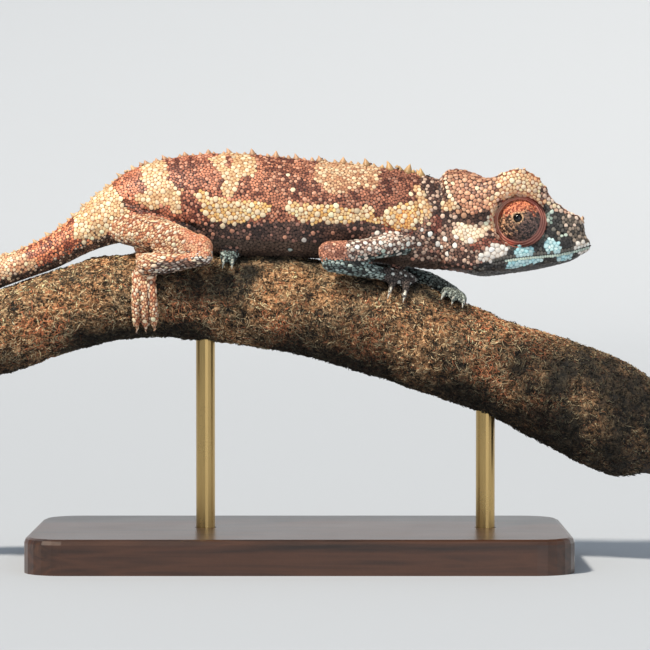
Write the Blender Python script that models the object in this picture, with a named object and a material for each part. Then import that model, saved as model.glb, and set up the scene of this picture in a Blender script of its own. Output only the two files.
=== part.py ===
"""A Jackson's chameleon, life size, walking along a cut length of branch that a plain stand holds up.

It faces +X, with its right side towards -Y. Lengths are in millimetres until they become vertices. The
origin is the middle of the stand's underside.
"""

import math

import bmesh
import bpy
from mathutils import Matrix, Vector, noise

MM = 0.001
GAP = 0.3  # kept between touching nodes
SOLVER = "MANIFOLD"
RIGHT, LEFT = -1, 1  # the sign of Y on each side

# Stand
BASE_SIZE = (124.0, 66.0, 8.0)
BASE_CORNER = 9.0
BASE_BEVEL = 1.2
ROD_RADIUS = 2.2
ROD_PLACES = (-22.0, 43.0)
ROD_SOCKET = 4.5  # how far a rod goes into the base and into the branch

# Branch: (x, z, radius) down its middle
BRANCH_LINE = (
    (-105, 46.8, 8.7),
    (-86, 49.7, 9.0),
    (-69, 53.5, 9.3),
    (-55.2, 58.2, 9.5),
    (-44, 61.2, 9.7),
    (-32, 62.0, 9.7),
    (-16, 60.65, 9.8),
    (0, 59.25, 10.75),
    (23, 53.35, 11.35),
    (36.8, 48.4, 11.2),
    (46, 45.1, 10.9),
    (64.4, 37.5, 12.5),
    (72, 33.7, 12.7),
    (78, 30.3, 11.3),
    (83.5, 27.6, 7.4),
)
BRANCH_STEP = 6.3
BRANCH_SIDES = 16
BARK_RELIEF = 0.32
BARK_SCALE = 9.0  # the size of one lump of bark

# Trunk of the body, from hip to neck: (x, z, half height, half width)
BODY_LINE = (
    (-57.5, 71.85, 3.95, 3.5),
    (-50.6, 75.95, 4.7, 4.0),
    (-43.7, 79.95, 6.75, 5.1),
    (-36.6, 82.3, 9.2, 6.5),
    (-28.5, 83.0, 10.9, 7.7),
    (-16.0, 82.8, 12.0, 8.5),
    (0.0, 81.85, 11.45, 8.7),
    (14.0, 80.9, 11.2, 8.2),
    (23.0, 79.6, 11.0, 7.3),
    (30.4, 78.3, 10.6, 6.4),
    (33.6, 78.1, 10.5, 6.2),
)
NECK_START, NECK_END = 26.4, 32.7
TAIL_START = -41.5
BODY_SIDES = 18
BACK_NARROWING = 0.22  # how much slimmer a section is along the back than at mid height

# Tail, past the part that shows beside the hip: it settles on the branch and winds once round it
TAIL_LAY = ((-63.5, 69.4, 3.65, 3.3), (-69.0, 67.25, 3.45, 3.15), (-74.0, 65.0, 3.1, 2.8))
WIND_START, WIND_END = -78.5, -99.0
WIND_TURN = math.radians(390)
WIND_EASE = 0.3  # the share of the wind over which the tail turns in
WIND_STATIONS = 26
TAIL_AT_WIND, TAIL_AT_TIP = 2.75, 0.75
TAIL_CLEAR = 0.75  # between the branch's plain round and the wound tail, more than the bark's relief
TAIL_STEP = 2.7
TAIL_SIDES = 10
TAIL_SHARES = (0.0, 0.22, 0.42, 0.62, 0.81, 1.0)  # where the tail is parted, along its length
TAIL_NAMES = ("tail_base", "tail_second", "tail_third", "tail_fourth", "tail_tip")

# Crest of cones along the back: x of the tall ones to the hip, then their pitch on the tail
CREST_PLACES = (28.1, 24.8, 20.7, 15.2, 9.7, 4.4, -0.7, -5.8, -11.0, -16.3, -21.2, -26.5, -31.3, -35.4, -38.4)
CREST_TAIL_PITCH = 3.6
CREST_SMALL_BETWEEN = 2
CREST_TALL, CREST_SMALL = 2.1, 1.0
CREST_SINK = 0.8

# Head, in its own frame: x forward of the neck, z above the middle of the mouth
HEAD_PLACE = Vector((33.0, 0, 71.1))
HEAD_LENGTH = 33.7
HEAD_STATIONS = 23
# Its lines from nape to snout: (x, half width, z)
CROWN = ((0, 0, 19.4), (3.3, 0, 19.9), (6.1, 0, 19.4), (8.8, 0, 18.3), (11.8, 0, 17.8), (15.8, 0, 17.7),
         (19.3, 0, 17.1), (22, 0, 15.5), (24.5, 0, 12.9), (27, 0, 10.9), (30.2, 0, 9.1),
         (32.3, 0, 8.2), (33.7, 0, 6.6))  # fmt: skip
BROW = ((0, 2.2, 19.0), (6.1, 4.4, 17.9), (9.8, 5.5, 17.2), (12.3, 6.3, 18.2), (14.8, 6.9, 19.5),
        (17.3, 7.1, 19.9), (19.8, 6.7, 19.3), (22.1, 5.8, 17.8), (24, 4.9, 15.4), (25.1, 4.4, 13.3),
        (27, 3.7, 11.6), (30.2, 2.5, 9.8), (32.3, 1.5, 8.7), (33.7, 0.8, 6.9))  # fmt: skip
CREST = ((0, 5.0, 15.4), (3, 6.8, 12.0), (5.6, 7.6, 9.8), (8.4, 7.9, 9.6), (11.2, 7.8, 11.4),
         (14.4, 7.4, 14.0), (17.1, 7.2, 15.4), (19.9, 6.8, 15.0), (22.2, 6.0, 13.8),
         (24.3, 5.1, 12.0), (27, 4.2, 9.9), (30.2, 3.0, 8.0), (33.7, 1.2, 5.6))  # fmt: skip
TEMPLE = ((0, 5.9, 11.0), (6.1, 6.5, 7.4), (11.6, 6.2, 7.4), (17.1, 5.3, 8.0), (22.2, 4.7, 7.4),
          (27, 4.2, 6.2), (30.2, 3.3, 5.7), (33.7, 1.6, 4.6))  # fmt: skip
CHEEK = ((0, 6.6, 5.5), (6.1, 8.1, 4.1), (8.8, 8.0, 3.4), (14.4, 7.0, 2.4), (19.9, 6.0, 2.1),
         (24.3, 5.1, 2.5), (30.2, 3.6, 3.1), (33.7, 1.8, 3.5))  # fmt: skip
LIP = ((0, 6.8, 0.0), (6.1, 7.9, -1.8), (8.8, 7.8, -1.6), (14.4, 6.9, -0.8), (19.9, 5.9, -0.2),
       (24.3, 5.0, 0.2), (30.2, 3.4, 1.2), (33.7, 1.6, 2.1))  # fmt: skip
JAW = ((0, 5.4, -2.3), (6.1, 6.9, -3.4), (8.8, 6.9, -3.7), (14.4, 6.0, -3.1), (19.9, 5.0, -2.3),
       (24.3, 4.0, -1.7), (30.2, 2.5, -0.5), (33.7, 0.9, 1.3))  # fmt: skip
CHIN = ((0, 0, -3.5), (3.3, 0, -3.7), (6.1, 0, -4.4), (8.8, 0, -4.9), (11.6, 0, -4.8),
        (17.1, 0, -4.1), (22.2, 0, -3.3), (27, 0, -2.2), (30.2, 0, -1.2), (33.7, 0, 1.1))  # fmt: skip
HEAD_LINES = (CROWN, BROW, CREST, TEMPLE, CHEEK, LIP, JAW, CHIN)
HEAD_SPAN_CUTS = 2  # points between two lines round a section, counting the first
# How far the front of the snout juts at each height, past NOSE_FROM: (z, x)
NOSE_SHAPE = ((0.0, 0.0), (1.3, 0.5), (2.2, 1.0), (3.2, 0.5), (4.6, -0.4), (6.0, -0.7), (8.0, -0.4))
NOSE_FROM = 30.5

# The cut of the mouth: along the lips from the snout, then down behind the jaw: (x, z)
MOUTH_CUT = ((37.0, 2.45), (33.7, 2.2), (30.2, 1.2), (26.8, 0.5), (22.2, 0.05), (18.3, -0.3),
             (14.4, -0.8), (10.8, -1.8), (8.0, -2.8), (6.1, -3.9), (4.4, -6.5))  # fmt: skip
MOUTH_WIDTH = 0.35

# Eye turret: where its base stands, its axis, and its turned outline (radius, height)
EYE_PLACE = Vector((17.9, 2.4, 7.75))
EYE_AXIS = Vector((-0.15, 1.0, 0.15))
TURRET_OUTLINE = ((5.2, 0.0), (5.9, 1.2), (6.0, 2.3), (5.8, 2.75), (5.45, 2.7), (5.5, 3.1),
                  (5.25, 3.6), (4.9, 3.55), (4.85, 4.05), (4.2, 5.2), (3.2, 6.1), (2.2, 6.65),
                  (1.45, 6.9), (1.2, 6.75), (1.05, 6.2), (1.0, 5.7))  # fmt: skip
TURRET_SIDES = 20
EYEBALL_RADIUS = 0.75
EYEBALL_HEIGHT = 6.75  # of its front above the turret's base

NOSTRIL_PLACE = Vector((28.0, 4.05, 4.9))
NOSTRIL_SIZE = (0.8, 1.0, 0.45)
ROSTRAL_PLACE = Vector((32.2, 0, 8.1))
ROSTRAL_LEAN = Vector((0.35, 0, 1))
ROSTRAL_TALL, ROSTRAL_WIDE = 1.5, 0.75

# Raised scales along the ridges of the head: (line, first x, last x, how many, radius)
HEAD_ROWS = (
    (BROW, 11.8, 23.8, 8, 0.75),
    (BROW, 25.4, 31.4, 5, 0.58),
    (CREST, 1.4, 10.8, 6, 0.78),
    (LIP, 10.5, 31.8, 9, 0.6),
)
CASQUE_SCALES = 4  # on the rear edge of the casque at each side of its peak
CASQUE_EDGE = ((0, 19.3), (2.2, 19.0), (4.0, 17.3), (5.0, 15.4))  # (half width, z)
CASQUE_SCALE_RADIUS = 0.7
SCALE_SIDES = 5
CROWN_SCALES = 4
LIP_RISE = 0.7  # the row of lip scales stands above the mouth

# Limbs on each side: joints as (x, distance from the middle, z), radii along them
HIND_LIMBS = {
    "right": {
        "side": RIGHT,
        "thigh": (((-40.5, 3.2, 77.3), (-33.0, 8.6, 76.4), (-27.6, 11.0, 75.1), (-22.4, 12.2, 73.0)),
                  (3.8, 4.25, 3.6, 3.0)),
        "shin": (((-21.9, 13.0, 71.2), (-27.4, 12.6, 70.0), (-32.0, 12.2, 69.5), (-35.2, 11.7, 69.1)),
                 (2.5, 2.4, 3.0, 2.7)),
        "foot_x": -35.6,
        "palm_turn": 60,
        "toe_size": 1.0,
        "toe_spacing": 2.2,
        "toes": {"outer": (3, 94, 128), "inner": (2, 6, -14)},
    },
    "left": {
        "side": LEFT,
        "thigh": (((-40.5, 3.2, 78.0), (-36.5, 8.6, 79.0), (-31.5, 13.0, 79.9), (-27.0, 16.0, 80.0)),
                  (3.4, 3.7, 3.5, 2.9)),
        "shin": (((-25.8, 17.2, 78.6), (-23.4, 14.6, 76.2), (-21.2, 11.8, 73.9), (-19.6, 9.8, 72.0)),
                 (2.5, 2.8, 2.6, 2.2)),
        "foot_x": -17.4,
        "palm_turn": 38,
        "toe_size": 1.0,
        "toe_spacing": 2.1,
        "toes": {"outer": (3, 84, 102), "inner": (2, -10, -34)},
    },
}  # fmt: skip
FORE_LIMBS = {
    "right": {
        "side": RIGHT,
        "upper_arm": (((24.5, 4.2, 74.6), (17.5, 9.2, 72.9), (11.5, 11.3, 72.3), (6.6, 12.0, 72.0)),
                      (3.2, 2.7, 2.6, 2.8)),
        "forearm": (((6.9, 12.3, 69.6), (11.5, 11.2, 68.6), (15.2, 9.2, 67.8), (18.2, 7.4, 67.2)),
                    (2.3, 2.2, 1.9, 1.7)),
        "foot_x": 19.9,
        "palm_turn": 20,
        "toe_size": 0.78,
        "toe_spacing": 3.2,
        "toes": {"outer": (2, 27, 43), "inner": (3, 0, -14)},
    },
    "left": {
        "side": LEFT,
        "upper_arm": (((28.0, 4.2, 75.2), (23.0, 8.8, 73.6), (19.0, 11.2, 72.2), (15.6, 12.2, 71.2)),
                      (3.1, 2.7, 2.5, 2.6)),
        "forearm": (((15.9, 12.4, 69.0), (21.0, 10.2, 67.7), (25.8, 7.8, 66.6), (30.2, 5.2, 65.7)),
                    (2.2, 2.1, 2.0, 1.8)),
        "foot_x": 31.3,
        "palm_turn": 10,
        "toe_size": 0.85,
        "toe_spacing": 2.2,
        "toes": {"outer": (2, 36, 48), "inner": (3, -10, -22)},
    },
}  # fmt: skip
LIMB_SIDES = 10
LIMB_UP = (0.13, 0.21, 1.0)  # sets how a limb's facets are turned
LIMB_STATIONS = 7
LIMB_ENDS = ((0.5, 0.84), (0.86, 0.45))
FOOT_LIFT = 0.42  # of toes and soles over the bark
MITT_THICK = 1.05  # half thickness of the part of a foot that binds its toes together
TOE_RADIUS, TOE_TIP_RADIUS = 1.08, 0.86
TOE_BUNCHED = 0.85  # how close toes stand where they leave the mitt, as a share of the spacing at their tips
TOE_SIDES = 6
MITT_SIDES = 8
CLAW_LENGTH, CLAW_RADIUS = 1.9, 0.46
CLAW_SIDES = 5
WRIST_RADIUS = 1.7

COLOURS = {
    "skin": ((0.33, 0.17, 0.12, 1), 0.62, 0),
    "lid": ((0.36, 0.13, 0.08, 1), 0.5, 0),
    "eye": ((0.02, 0.015, 0.012, 1), 0.08, 0),
    "bark": ((0.10, 0.07, 0.05, 1), 0.9, 0),
    "stand_wood": ((0.05, 0.035, 0.028, 1), 0.45, 0),
    "stand_rod": ((0.62, 0.5, 0.3, 1), 0.3, 1),
}


def clear_scene():
    for thing in list(bpy.data.objects):
        bpy.data.objects.remove(thing)


def material(name):
    found = bpy.data.materials.get(name)
    if found:
        return found
    colour, roughness, metallic = COLOURS[name]
    made = bpy.data.materials.new(name)
    made.use_nodes = True
    shader = made.node_tree.nodes["Principled BSDF"]
    shader.inputs["Base Color"].default_value = colour
    shader.inputs["Roughness"].default_value = roughness
    shader.inputs["Metallic"].default_value = metallic
    return made


def add_object(name, bm, finish):
    """A node from a bmesh that was drawn in millimetres."""
    bmesh.ops.transform(bm, matrix=Matrix.Scale(MM, 4), verts=bm.verts)
    bmesh.ops.recalc_face_normals(bm, faces=bm.faces)
    mesh = bpy.data.meshes.new(name)
    bm.to_mesh(mesh)
    bm.free()
    mesh.shade_smooth()
    mesh.set_sharp_from_angle(angle=math.radians(40))
    mesh.materials.append(material(finish))
    made = bpy.data.objects.new(name, mesh)
    bpy.context.scene.collection.objects.link(made)
    return made


def apply_modifiers(thing):
    bpy.context.view_layer.update()
    graph = bpy.context.evaluated_depsgraph_get()
    thing.data = bpy.data.meshes.new_from_object(thing.evaluated_get(graph))
    thing.modifiers.clear()


def keep_largest(thing):
    """Leaves only the closed surface with the most volume."""
    bm = bmesh.new()
    bm.from_mesh(thing.data)
    left, shells = set(bm.faces), []
    while left:
        front = [left.pop()]
        shell = list(front)
        while front:
            for edge in front.pop().edges:
                for face in edge.link_faces:
                    if face in left:
                        left.remove(face)
                        front.append(face)
                        shell.append(face)
        shells.append(shell)
    if len(shells) > 1:
        spans = [sum(face.calc_area() for face in shell) for shell in shells]
        best = spans.index(max(spans))
        extra = [face for k, shell in enumerate(shells) if k != best for face in shell]
        bmesh.ops.delete(bm, geom=extra, context="FACES")
    bm.to_mesh(thing.data)
    bm.free()


def fuse(thing, pieces):
    """Joins closed pieces to thing as one surface, and removes them."""
    group = bpy.data.collections.new(thing.name + "_pieces")
    for piece in pieces:
        group.objects.link(piece)
    union = thing.modifiers.new("fuse", "BOOLEAN")
    union.operation = "UNION"
    union.operand_type = "COLLECTION"
    union.collection = group
    union.solver = SOLVER
    apply_modifiers(thing)
    for piece in pieces:
        bpy.data.objects.remove(piece)
    bpy.data.collections.remove(group)
    keep_largest(thing)
    return thing


def carve(thing, cutters, keep_cutters=True):
    """Cuts each cutter from thing."""
    for cutter in cutters:
        cut = thing.modifiers.new("carve", "BOOLEAN")
        cut.operation = "DIFFERENCE"
        cut.object = cutter
        cut.solver = SOLVER
        apply_modifiers(thing)
        if not keep_cutters:
            bpy.data.objects.remove(cutter)
    keep_largest(thing)
    return thing


def swollen(thing, by=GAP):
    """A copy of thing that is larger by the gap all round, as a cutter for its neighbour."""
    bm = bmesh.new()
    bm.from_mesh(thing.data)
    bmesh.ops.triangulate(bm, faces=bm.faces)
    bm.normal_update()
    moves = [v.normal * by * MM * min(v.calc_shell_factor(), 1.6) for v in bm.verts]
    for v, move in zip(bm.verts, moves):
        v.co += move
    mesh = bpy.data.meshes.new(thing.name + "_cutter")
    bm.to_mesh(mesh)
    bm.free()
    made = bpy.data.objects.new(thing.name + "_cutter", mesh)
    made.hide_render = True
    made.display_type = "WIRE"
    bpy.context.scene.collection.objects.link(made)
    return made


def fit_against(thing, neighbours):
    """Cuts thing clear of its neighbours, so that they meet face to face."""
    return carve(thing, [swollen(n) for n in neighbours], keep_cutters=False)


def spline(points, t):
    """The point at t, from 0 to 1, of a smooth curve through points that are tuples of any length."""
    spans = len(points) - 1
    place = min(max(t, 0.0), 1.0) * spans
    k = min(int(place), spans - 1)
    u = place - k
    p0, p1 = points[max(k - 1, 0)], points[k]
    p2, p3 = points[k + 1], points[min(k + 2, spans)]
    return tuple(
        0.5 * (2 * b + (c - a) * u + (2 * a - 5 * b + 4 * c - d) * u * u + (3 * b - a - 3 * c + d) * u**3)
        for a, b, c, d in zip(p0, p1, p2, p3)
    )


def line_at(points, x):
    """The values of a line at x, where the first value of each of its points is x."""
    low = 0
    while low < len(points) - 2 and points[low + 1][0] < x:
        low += 1
    a, b = points[low], points[low + 1]
    before = points[max(low - 1, 0)]
    after = points[min(low + 2, len(points) - 1)]
    span = b[0] - a[0]
    u = min(max((x - a[0]) / span, 0.0), 1.0)
    found = []
    for k in range(1, len(a)):
        slope_a = (b[k] - before[k]) / (b[0] - before[0]) * span
        slope_b = (after[k] - a[k]) / (after[0] - a[0]) * span
        found.append(
            (2 * u**3 - 3 * u**2 + 1) * a[k]
            + (u**3 - 2 * u**2 + u) * slope_a
            + (3 * u**2 - 2 * u**3) * b[k]
            + (u**3 - u**2) * slope_b
        )
    return found


def evenly(points, step):
    """Points resampled at about equal steps along the smooth curve through them."""
    fine = [spline(points, k / (20 * len(points))) for k in range(20 * len(points) + 1)]
    lengths = [0.0]
    for a, b in zip(fine, fine[1:]):
        lengths.append(lengths[-1] + (Vector(b[:3]) - Vector(a[:3])).length)
    count = max(2, round(lengths[-1] / step))
    found, k = [], 0
    for i in range(count + 1):
        want = lengths[-1] * i / count
        while k < len(lengths) - 2 and lengths[k + 1] < want:
            k += 1
        u = (want - lengths[k]) / max(lengths[k + 1] - lengths[k], 1e-9)
        found.append(tuple(a + (b - a) * u for a, b in zip(fine[k], fine[k + 1])))
    return found


def loft(rings):
    """A closed bmesh through rings of points, each extruded from the last."""
    bm = bmesh.new()
    face = bm.faces.new([bm.verts.new(p) for p in rings[0]])
    for ring in rings[1:]:
        made = bmesh.ops.extrude_face_region(bm, geom=[face])["geom"]
        old = face
        face = next(g for g in made if isinstance(g, bmesh.types.BMFace))
        for vert, point in zip(face.verts, ring):
            vert.co = point
        if ring is not rings[1]:
            if old.is_valid:
                bm.faces.remove(old)
    bmesh.ops.triangulate(bm, faces=[f for f in bm.faces if len(f.verts) > 4])
    return bm


def frames_along(points, ways_up):
    """(tangent, side, up) at each of the points, with up as near as it can be to the given way."""
    found = []
    for k, hint in enumerate(ways_up):
        ahead = Vector(points[min(k + 1, len(points) - 1)][:3]) - Vector(points[max(k - 1, 0)][:3])
        ahead.normalize()
        side = Vector(hint).cross(ahead).normalized()
        found.append((ahead, side, ahead.cross(side).normalized()))
    return found


def tube(points, radii, sides, stations, wide=1.0, tip=False, round_ends=((0.6, 0.7),)):
    """A limb through points, with its radius run smoothly through radii and both ends rounded.

    Each point is x, y, z, and may go on with the way up there. The limb is wider than it is thick by wide.
    round_ends holds (reach, size) of the sections past each end, as shares of the radius.
    """
    if len(points[0]) == 3:
        points = [tuple(p) + tuple(LIMB_UP) for p in points]
    line = [spline(points, k / (stations - 1)) for k in range(stations)]
    sizes = [spline([(r,) for r in radii], k / (stations - 1))[0] for k in range(stations)]
    places = [Vector(p[:3]) for p in line]
    ways_up = [Vector(p[3:]) for p in line]
    if not tip:
        back, ahead = (places[0] - places[1]).normalized(), (places[-1] - places[-2]).normalized()
        places = (
            [places[0] + back * sizes[0] * reach for reach, _ in reversed(round_ends)]
            + places
            + [places[-1] + ahead * sizes[-1] * reach for reach, _ in round_ends]
        )
        ways_up = [ways_up[0]] * len(round_ends) + ways_up + [ways_up[-1]] * len(round_ends)
        sizes = (
            [sizes[0] * share for _, share in reversed(round_ends)] + sizes + [sizes[-1] * share for _, share in round_ends]
        )
    rings = []
    for place, size, (_, side, up) in zip(places, sizes, frames_along([tuple(p) for p in places], ways_up)):
        turns = [2 * math.pi * i / sides for i in range(sides)]
        rings.append([place + (side * math.cos(a) * wide + up * math.sin(a)) * size for a in turns])
    return loft(rings)


def cone_on(place, direction, tall, wide, sides=5, sink=CREST_SINK):
    """A pointed scale: a cone that stands on place, with its root sunk below it."""
    way = direction.normalized()
    bm = bmesh.new()
    bmesh.ops.create_cone(bm, cap_ends=True, segments=sides, radius1=wide, radius2=0, depth=tall + sink)
    turn = way.to_track_quat("Z", "Y").to_matrix().to_4x4()
    lift = Matrix.Translation(place + way * (tall - sink) / 2)
    bmesh.ops.transform(bm, matrix=lift @ turn, verts=bm.verts)
    return add_object("cone", bm, "skin")


def scale_at(place, radius, direction):
    """A raised scale: a low cone with its tip cut off, half of it sunk."""
    bm = bmesh.new()
    bmesh.ops.create_cone(
        bm, cap_ends=True, segments=SCALE_SIDES, radius1=radius, radius2=radius * 0.5, depth=radius * 1.5
    )
    turn = direction.normalized().to_track_quat("Z", "Y").to_matrix().to_4x4()
    bmesh.ops.transform(bm, matrix=Matrix.Translation(place) @ turn, verts=bm.verts)
    return add_object("scale", bm, "skin")


def branch_frame(x):
    """(middle, up, radius) of the branch at x; up is square to the branch in the XZ plane."""
    z, radius = line_at(BRANCH_LINE, x)
    slope = (line_at(BRANCH_LINE, x + 1)[0] - line_at(BRANCH_LINE, x - 1)[0]) / 2
    return Vector((x, 0, z)), Vector((-slope, 0, 1)).normalized(), radius


def on_branch(x, turn, height):
    """A point at that height over the bark, turned from the top of the branch towards +Y."""
    middle, up, radius = branch_frame(x)
    way = up * math.cos(turn) + Vector((0, 1, 0)) * math.sin(turn)
    sample = (middle + way * radius) / BARK_SCALE
    relief = BARK_RELIEF * noise.noise(sample)
    return middle + way * (radius + relief + height), way


def build_stand():
    length, width, thick = BASE_SIZE
    bm = bmesh.new()
    bmesh.ops.create_cube(bm, size=1)
    bmesh.ops.scale(bm, vec=BASE_SIZE, verts=bm.verts)
    bmesh.ops.translate(bm, vec=(0, 0, thick / 2), verts=bm.verts)
    upright = [e for e in bm.edges if abs(e.verts[0].co.z - e.verts[1].co.z) > thick / 2]
    bmesh.ops.bevel(bm, geom=upright, offset=BASE_CORNER, segments=6, affect="EDGES", profile=0.5, material=-1)
    rim = [e for e in bm.edges if all(v.co.z > thick - 0.01 for v in e.verts)]
    bmesh.ops.bevel(bm, geom=rim, offset=BASE_BEVEL, segments=2, affect="EDGES", profile=0.5, material=-1)
    base = add_object("stand_base", bm, "stand_wood")

    rods = []
    for number, x in enumerate(ROD_PLACES, 1):
        middle, _, radius = branch_frame(x)
        low, high = thick - ROD_SOCKET + GAP, middle.z - radius + ROD_SOCKET
        rods.append(rod(f"stand_rod_{number}", x, low, high, ROD_RADIUS))
    return base, rods


def rod(name, x, low, high, radius):
    bm = bmesh.new()
    bmesh.ops.create_cone(bm, cap_ends=True, segments=20, radius1=radius, radius2=radius, depth=high - low)
    bmesh.ops.translate(bm, vec=(x, 0, (low + high) / 2), verts=bm.verts)
    return add_object(name, bm, "stand_rod")


def build_branch():
    first, last = BRANCH_LINE[0][0], BRANCH_LINE[-1][0]
    count = round((last - first) / BRANCH_STEP)
    rings = []
    for k in range(count + 1):
        x = first + (last - first) * k / count
        turns = [2 * math.pi * i / BRANCH_SIDES for i in range(BRANCH_SIDES)]
        rings.append([on_branch(x, a, 0)[0] for a in turns])
    return add_object("perch_branch", loft(rings), "bark")


def body_ring(station, sides):
    """A section of the body: slimmer towards the back, round below."""
    place, tall, wide = Vector(station[:3]), station[3], station[4]
    side, up = Vector(station[5:8]), Vector(station[8:11])
    ring = []
    for i in range(sides):
        a = 2 * math.pi * i / sides
        narrow = 1 - BACK_NARROWING * max(0.0, math.sin(a)) ** 1.5
        ring.append(place + side * math.cos(a) * wide * narrow + up * math.sin(a) * tall)
    return ring


def wind_turn(t):
    """How far round the branch the tail is at t, easing in from the top of the branch."""
    eased = t * t / (2 * WIND_EASE) if t < WIND_EASE else t - WIND_EASE / 2
    return WIND_TURN * eased / (1 - WIND_EASE / 2)


def wind_stations():
    """The tail where it lies on the branch: x, y, z, half height, half width and the way out from the branch."""
    found = []
    for k in range(WIND_STATIONS + 1):
        t = k / WIND_STATIONS
        x = WIND_START + (WIND_END - WIND_START) * t
        turn = wind_turn(t)
        size = TAIL_AT_WIND + (TAIL_AT_TIP - TAIL_AT_WIND) * t**0.8
        middle, up, radius = branch_frame(x)
        way = up * math.cos(turn) + Vector((0, 1, 0)) * math.sin(turn)
        place = middle + way * (radius + size + TAIL_CLEAR)
        found.append(tuple(place) + (size, size * 0.93) + tuple(way))
    return found


def body_and_tail_line():
    """Evenly spaced stations from the neck to the tail's tip: x, y, z, half height, half width, side, up."""
    up = (0.0, 0.0, 1.0)
    trunk = [(x, 0, z, tall, wide) + up for x, z, tall, wide in reversed(BODY_LINE)]
    lay = [(x, 0, z, tall, wide) + up for x, z, tall, wide in TAIL_LAY]
    line = evenly(trunk + lay + wind_stations(), TAIL_STEP)
    frames = frames_along(line, [s[5:8] for s in line])
    return [s[:5] + tuple(side) + tuple(top) for s, (_, side, top) in zip(line, frames)]


def body_piece(name, line, sides, flush=None):
    """A length of the body. Its first section stands square in the plane x = flush, where that is given."""
    rings = [body_ring(s, sides) for s in line]
    if flush is not None:
        rings[0] = [Vector((flush, p.y, p.z)) for p in rings[0]]
    return add_object(name, loft(rings), "skin")


def lengths_along(line):
    lengths = [0.0]
    for a, b in zip(line, line[1:]):
        lengths.append(lengths[-1] + (Vector(b[:3]) - Vector(a[:3])).length)
    return lengths


def station_at(line, lengths, want):
    """The station at a length along the line."""
    k = max(i for i in range(len(lengths) - 1) if lengths[i] <= want or i == 0)
    u = (want - lengths[k]) / (lengths[k + 1] - lengths[k])
    return tuple(a + (b - a) * u for a, b in zip(line[k], line[k + 1]))


def stretch(line, start, end):
    """The stations between two lengths along the line, with exact ends."""
    lengths = lengths_along(line)
    inner = [s for s, at in zip(line, lengths) if start + TAIL_STEP / 3 < at < end - TAIL_STEP / 3]
    return [station_at(line, lengths, start)] + inner + [station_at(line, lengths, end)]


def length_at_x(line, x):
    """How far along the line, from the neck, it passes x for the first time."""
    lengths = lengths_along(line)
    for a, b, at, beyond in zip(line, line[1:], lengths, lengths[1:]):
        if (a[0] - x) * (b[0] - x) <= 0:
            return at + (beyond - at) * (a[0] - x) / (a[0] - b[0])
    return lengths[-1]


def crest_places(line, whole):
    """(length along the line, is it tall) for each cone, from neck to tail tip."""
    tall = [length_at_x(line, x) for x in CREST_PLACES]
    while tall[-1] + CREST_TAIL_PITCH < whole - CREST_TAIL_PITCH:
        tall.append(tall[-1] + CREST_TAIL_PITCH)
    found = []
    for a, b in zip(tall, tall[1:]):
        found.append((a, True))
        for k in range(CREST_SMALL_BETWEEN):
            found.append((a + (b - a) * (k + 1) / (CREST_SMALL_BETWEEN + 1), False))
    return found


def crest_on(line, start, end, whole, hip):
    """The cones of the crest between two lengths. They shrink towards the hip and along the tail."""
    lengths = lengths_along(line)
    cones = []
    for at, tall in crest_places(line, whole):
        size = CREST_TALL if tall else CREST_SMALL
        if at < hip:
            size *= 0.66 + 0.34 * max(0.0, 1 - at / (0.6 * hip))
        else:
            size *= 0.62 - 0.4 * (at - hip) / (whole - hip)
        wide = 0.5 * size + 0.25
        if not start + wide < at < end - wide:
            continue
        station = station_at(line, lengths, at)
        up = Vector(station[8:11]).normalized()
        cones.append(cone_on(Vector(station[:3]) + up * (station[3] - 0.12), up, size, wide))
    return cones


def build_body():
    """Neck, torso and the lengths of the tail, parted by thin cuts square to the line."""
    line = body_and_tail_line()
    whole = lengths_along(line)[-1]
    neck_from, neck_to = length_at_x(line, NECK_END), length_at_x(line, NECK_START)
    hip = length_at_x(line, TAIL_START)
    neck = body_piece("neck", stretch(line, neck_from, neck_to), BODY_SIDES, flush=NECK_END)
    fuse(neck, crest_on(line, neck_from, neck_to, whole, hip))
    torso = body_piece("torso", stretch(line, neck_to + GAP, hip), BODY_SIDES)
    fuse(torso, crest_on(line, neck_to + GAP, hip, whole, hip))
    tail = []
    for name, a, b in zip(TAIL_NAMES, TAIL_SHARES, TAIL_SHARES[1:]):
        start, end = hip + GAP + a * (whole - hip), hip + b * (whole - hip)
        piece = body_piece(name, stretch(line, start, min(end, whole)), TAIL_SIDES)
        tail.append(fuse(piece, crest_on(line, start, end, whole, hip)))
    return neck, torso, tail


def nose_shift(x, z):
    """How far a point of the head is moved along it, so that the lips jut beyond the snout's front."""
    share = max(0.0, (x - NOSE_FROM) / (HEAD_LENGTH - NOSE_FROM))
    return share * line_at(NOSE_SHAPE, z)[0]


def head_section(x):
    """One section of the head, right round, from its lines."""
    keys = []
    for line in HEAD_LINES:
        wide, z = line_at(line, x)
        keys.append((wide, z))
    half = []
    steps = (len(keys) - 1) * HEAD_SPAN_CUTS
    for k in range(steps + 1):
        half.append(spline(keys, k / steps))
    right = [Vector((x + nose_shift(x, z), -w, z)) for w, z in half]
    left = [Vector((x + nose_shift(x, z), w, z)) for w, z in half[-2:0:-1]]
    return right + left


def ribbon(points, thick, half_width):
    """A thin sheet across the head that follows points in the XZ plane, as a cutter."""
    rings = []
    for k, (x, z) in enumerate(points):
        (xa, za), (xb, zb) = points[max(k - 1, 0)], points[min(k + 1, len(points) - 1)]
        across = Vector((-(zb - za), 0, xb - xa)).normalized() * thick / 2
        at = Vector((x, 0, z))
        wide = Vector((0, half_width, 0))
        rings.append([at + across - wide, at + across + wide, at - across + wide, at - across - wide])
    return add_object("ribbon", loft(rings), "skin")


def turned(outline, sides):
    """A closed turned solid about Z from (radius, height) pairs, with flat ends."""
    rings = []
    for radius, height in outline:
        turns = [2 * math.pi * i / sides for i in range(sides)]
        rings.append([Vector((radius * math.cos(a), radius * math.sin(a), height)) for a in turns])
    return loft(rings)


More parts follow.
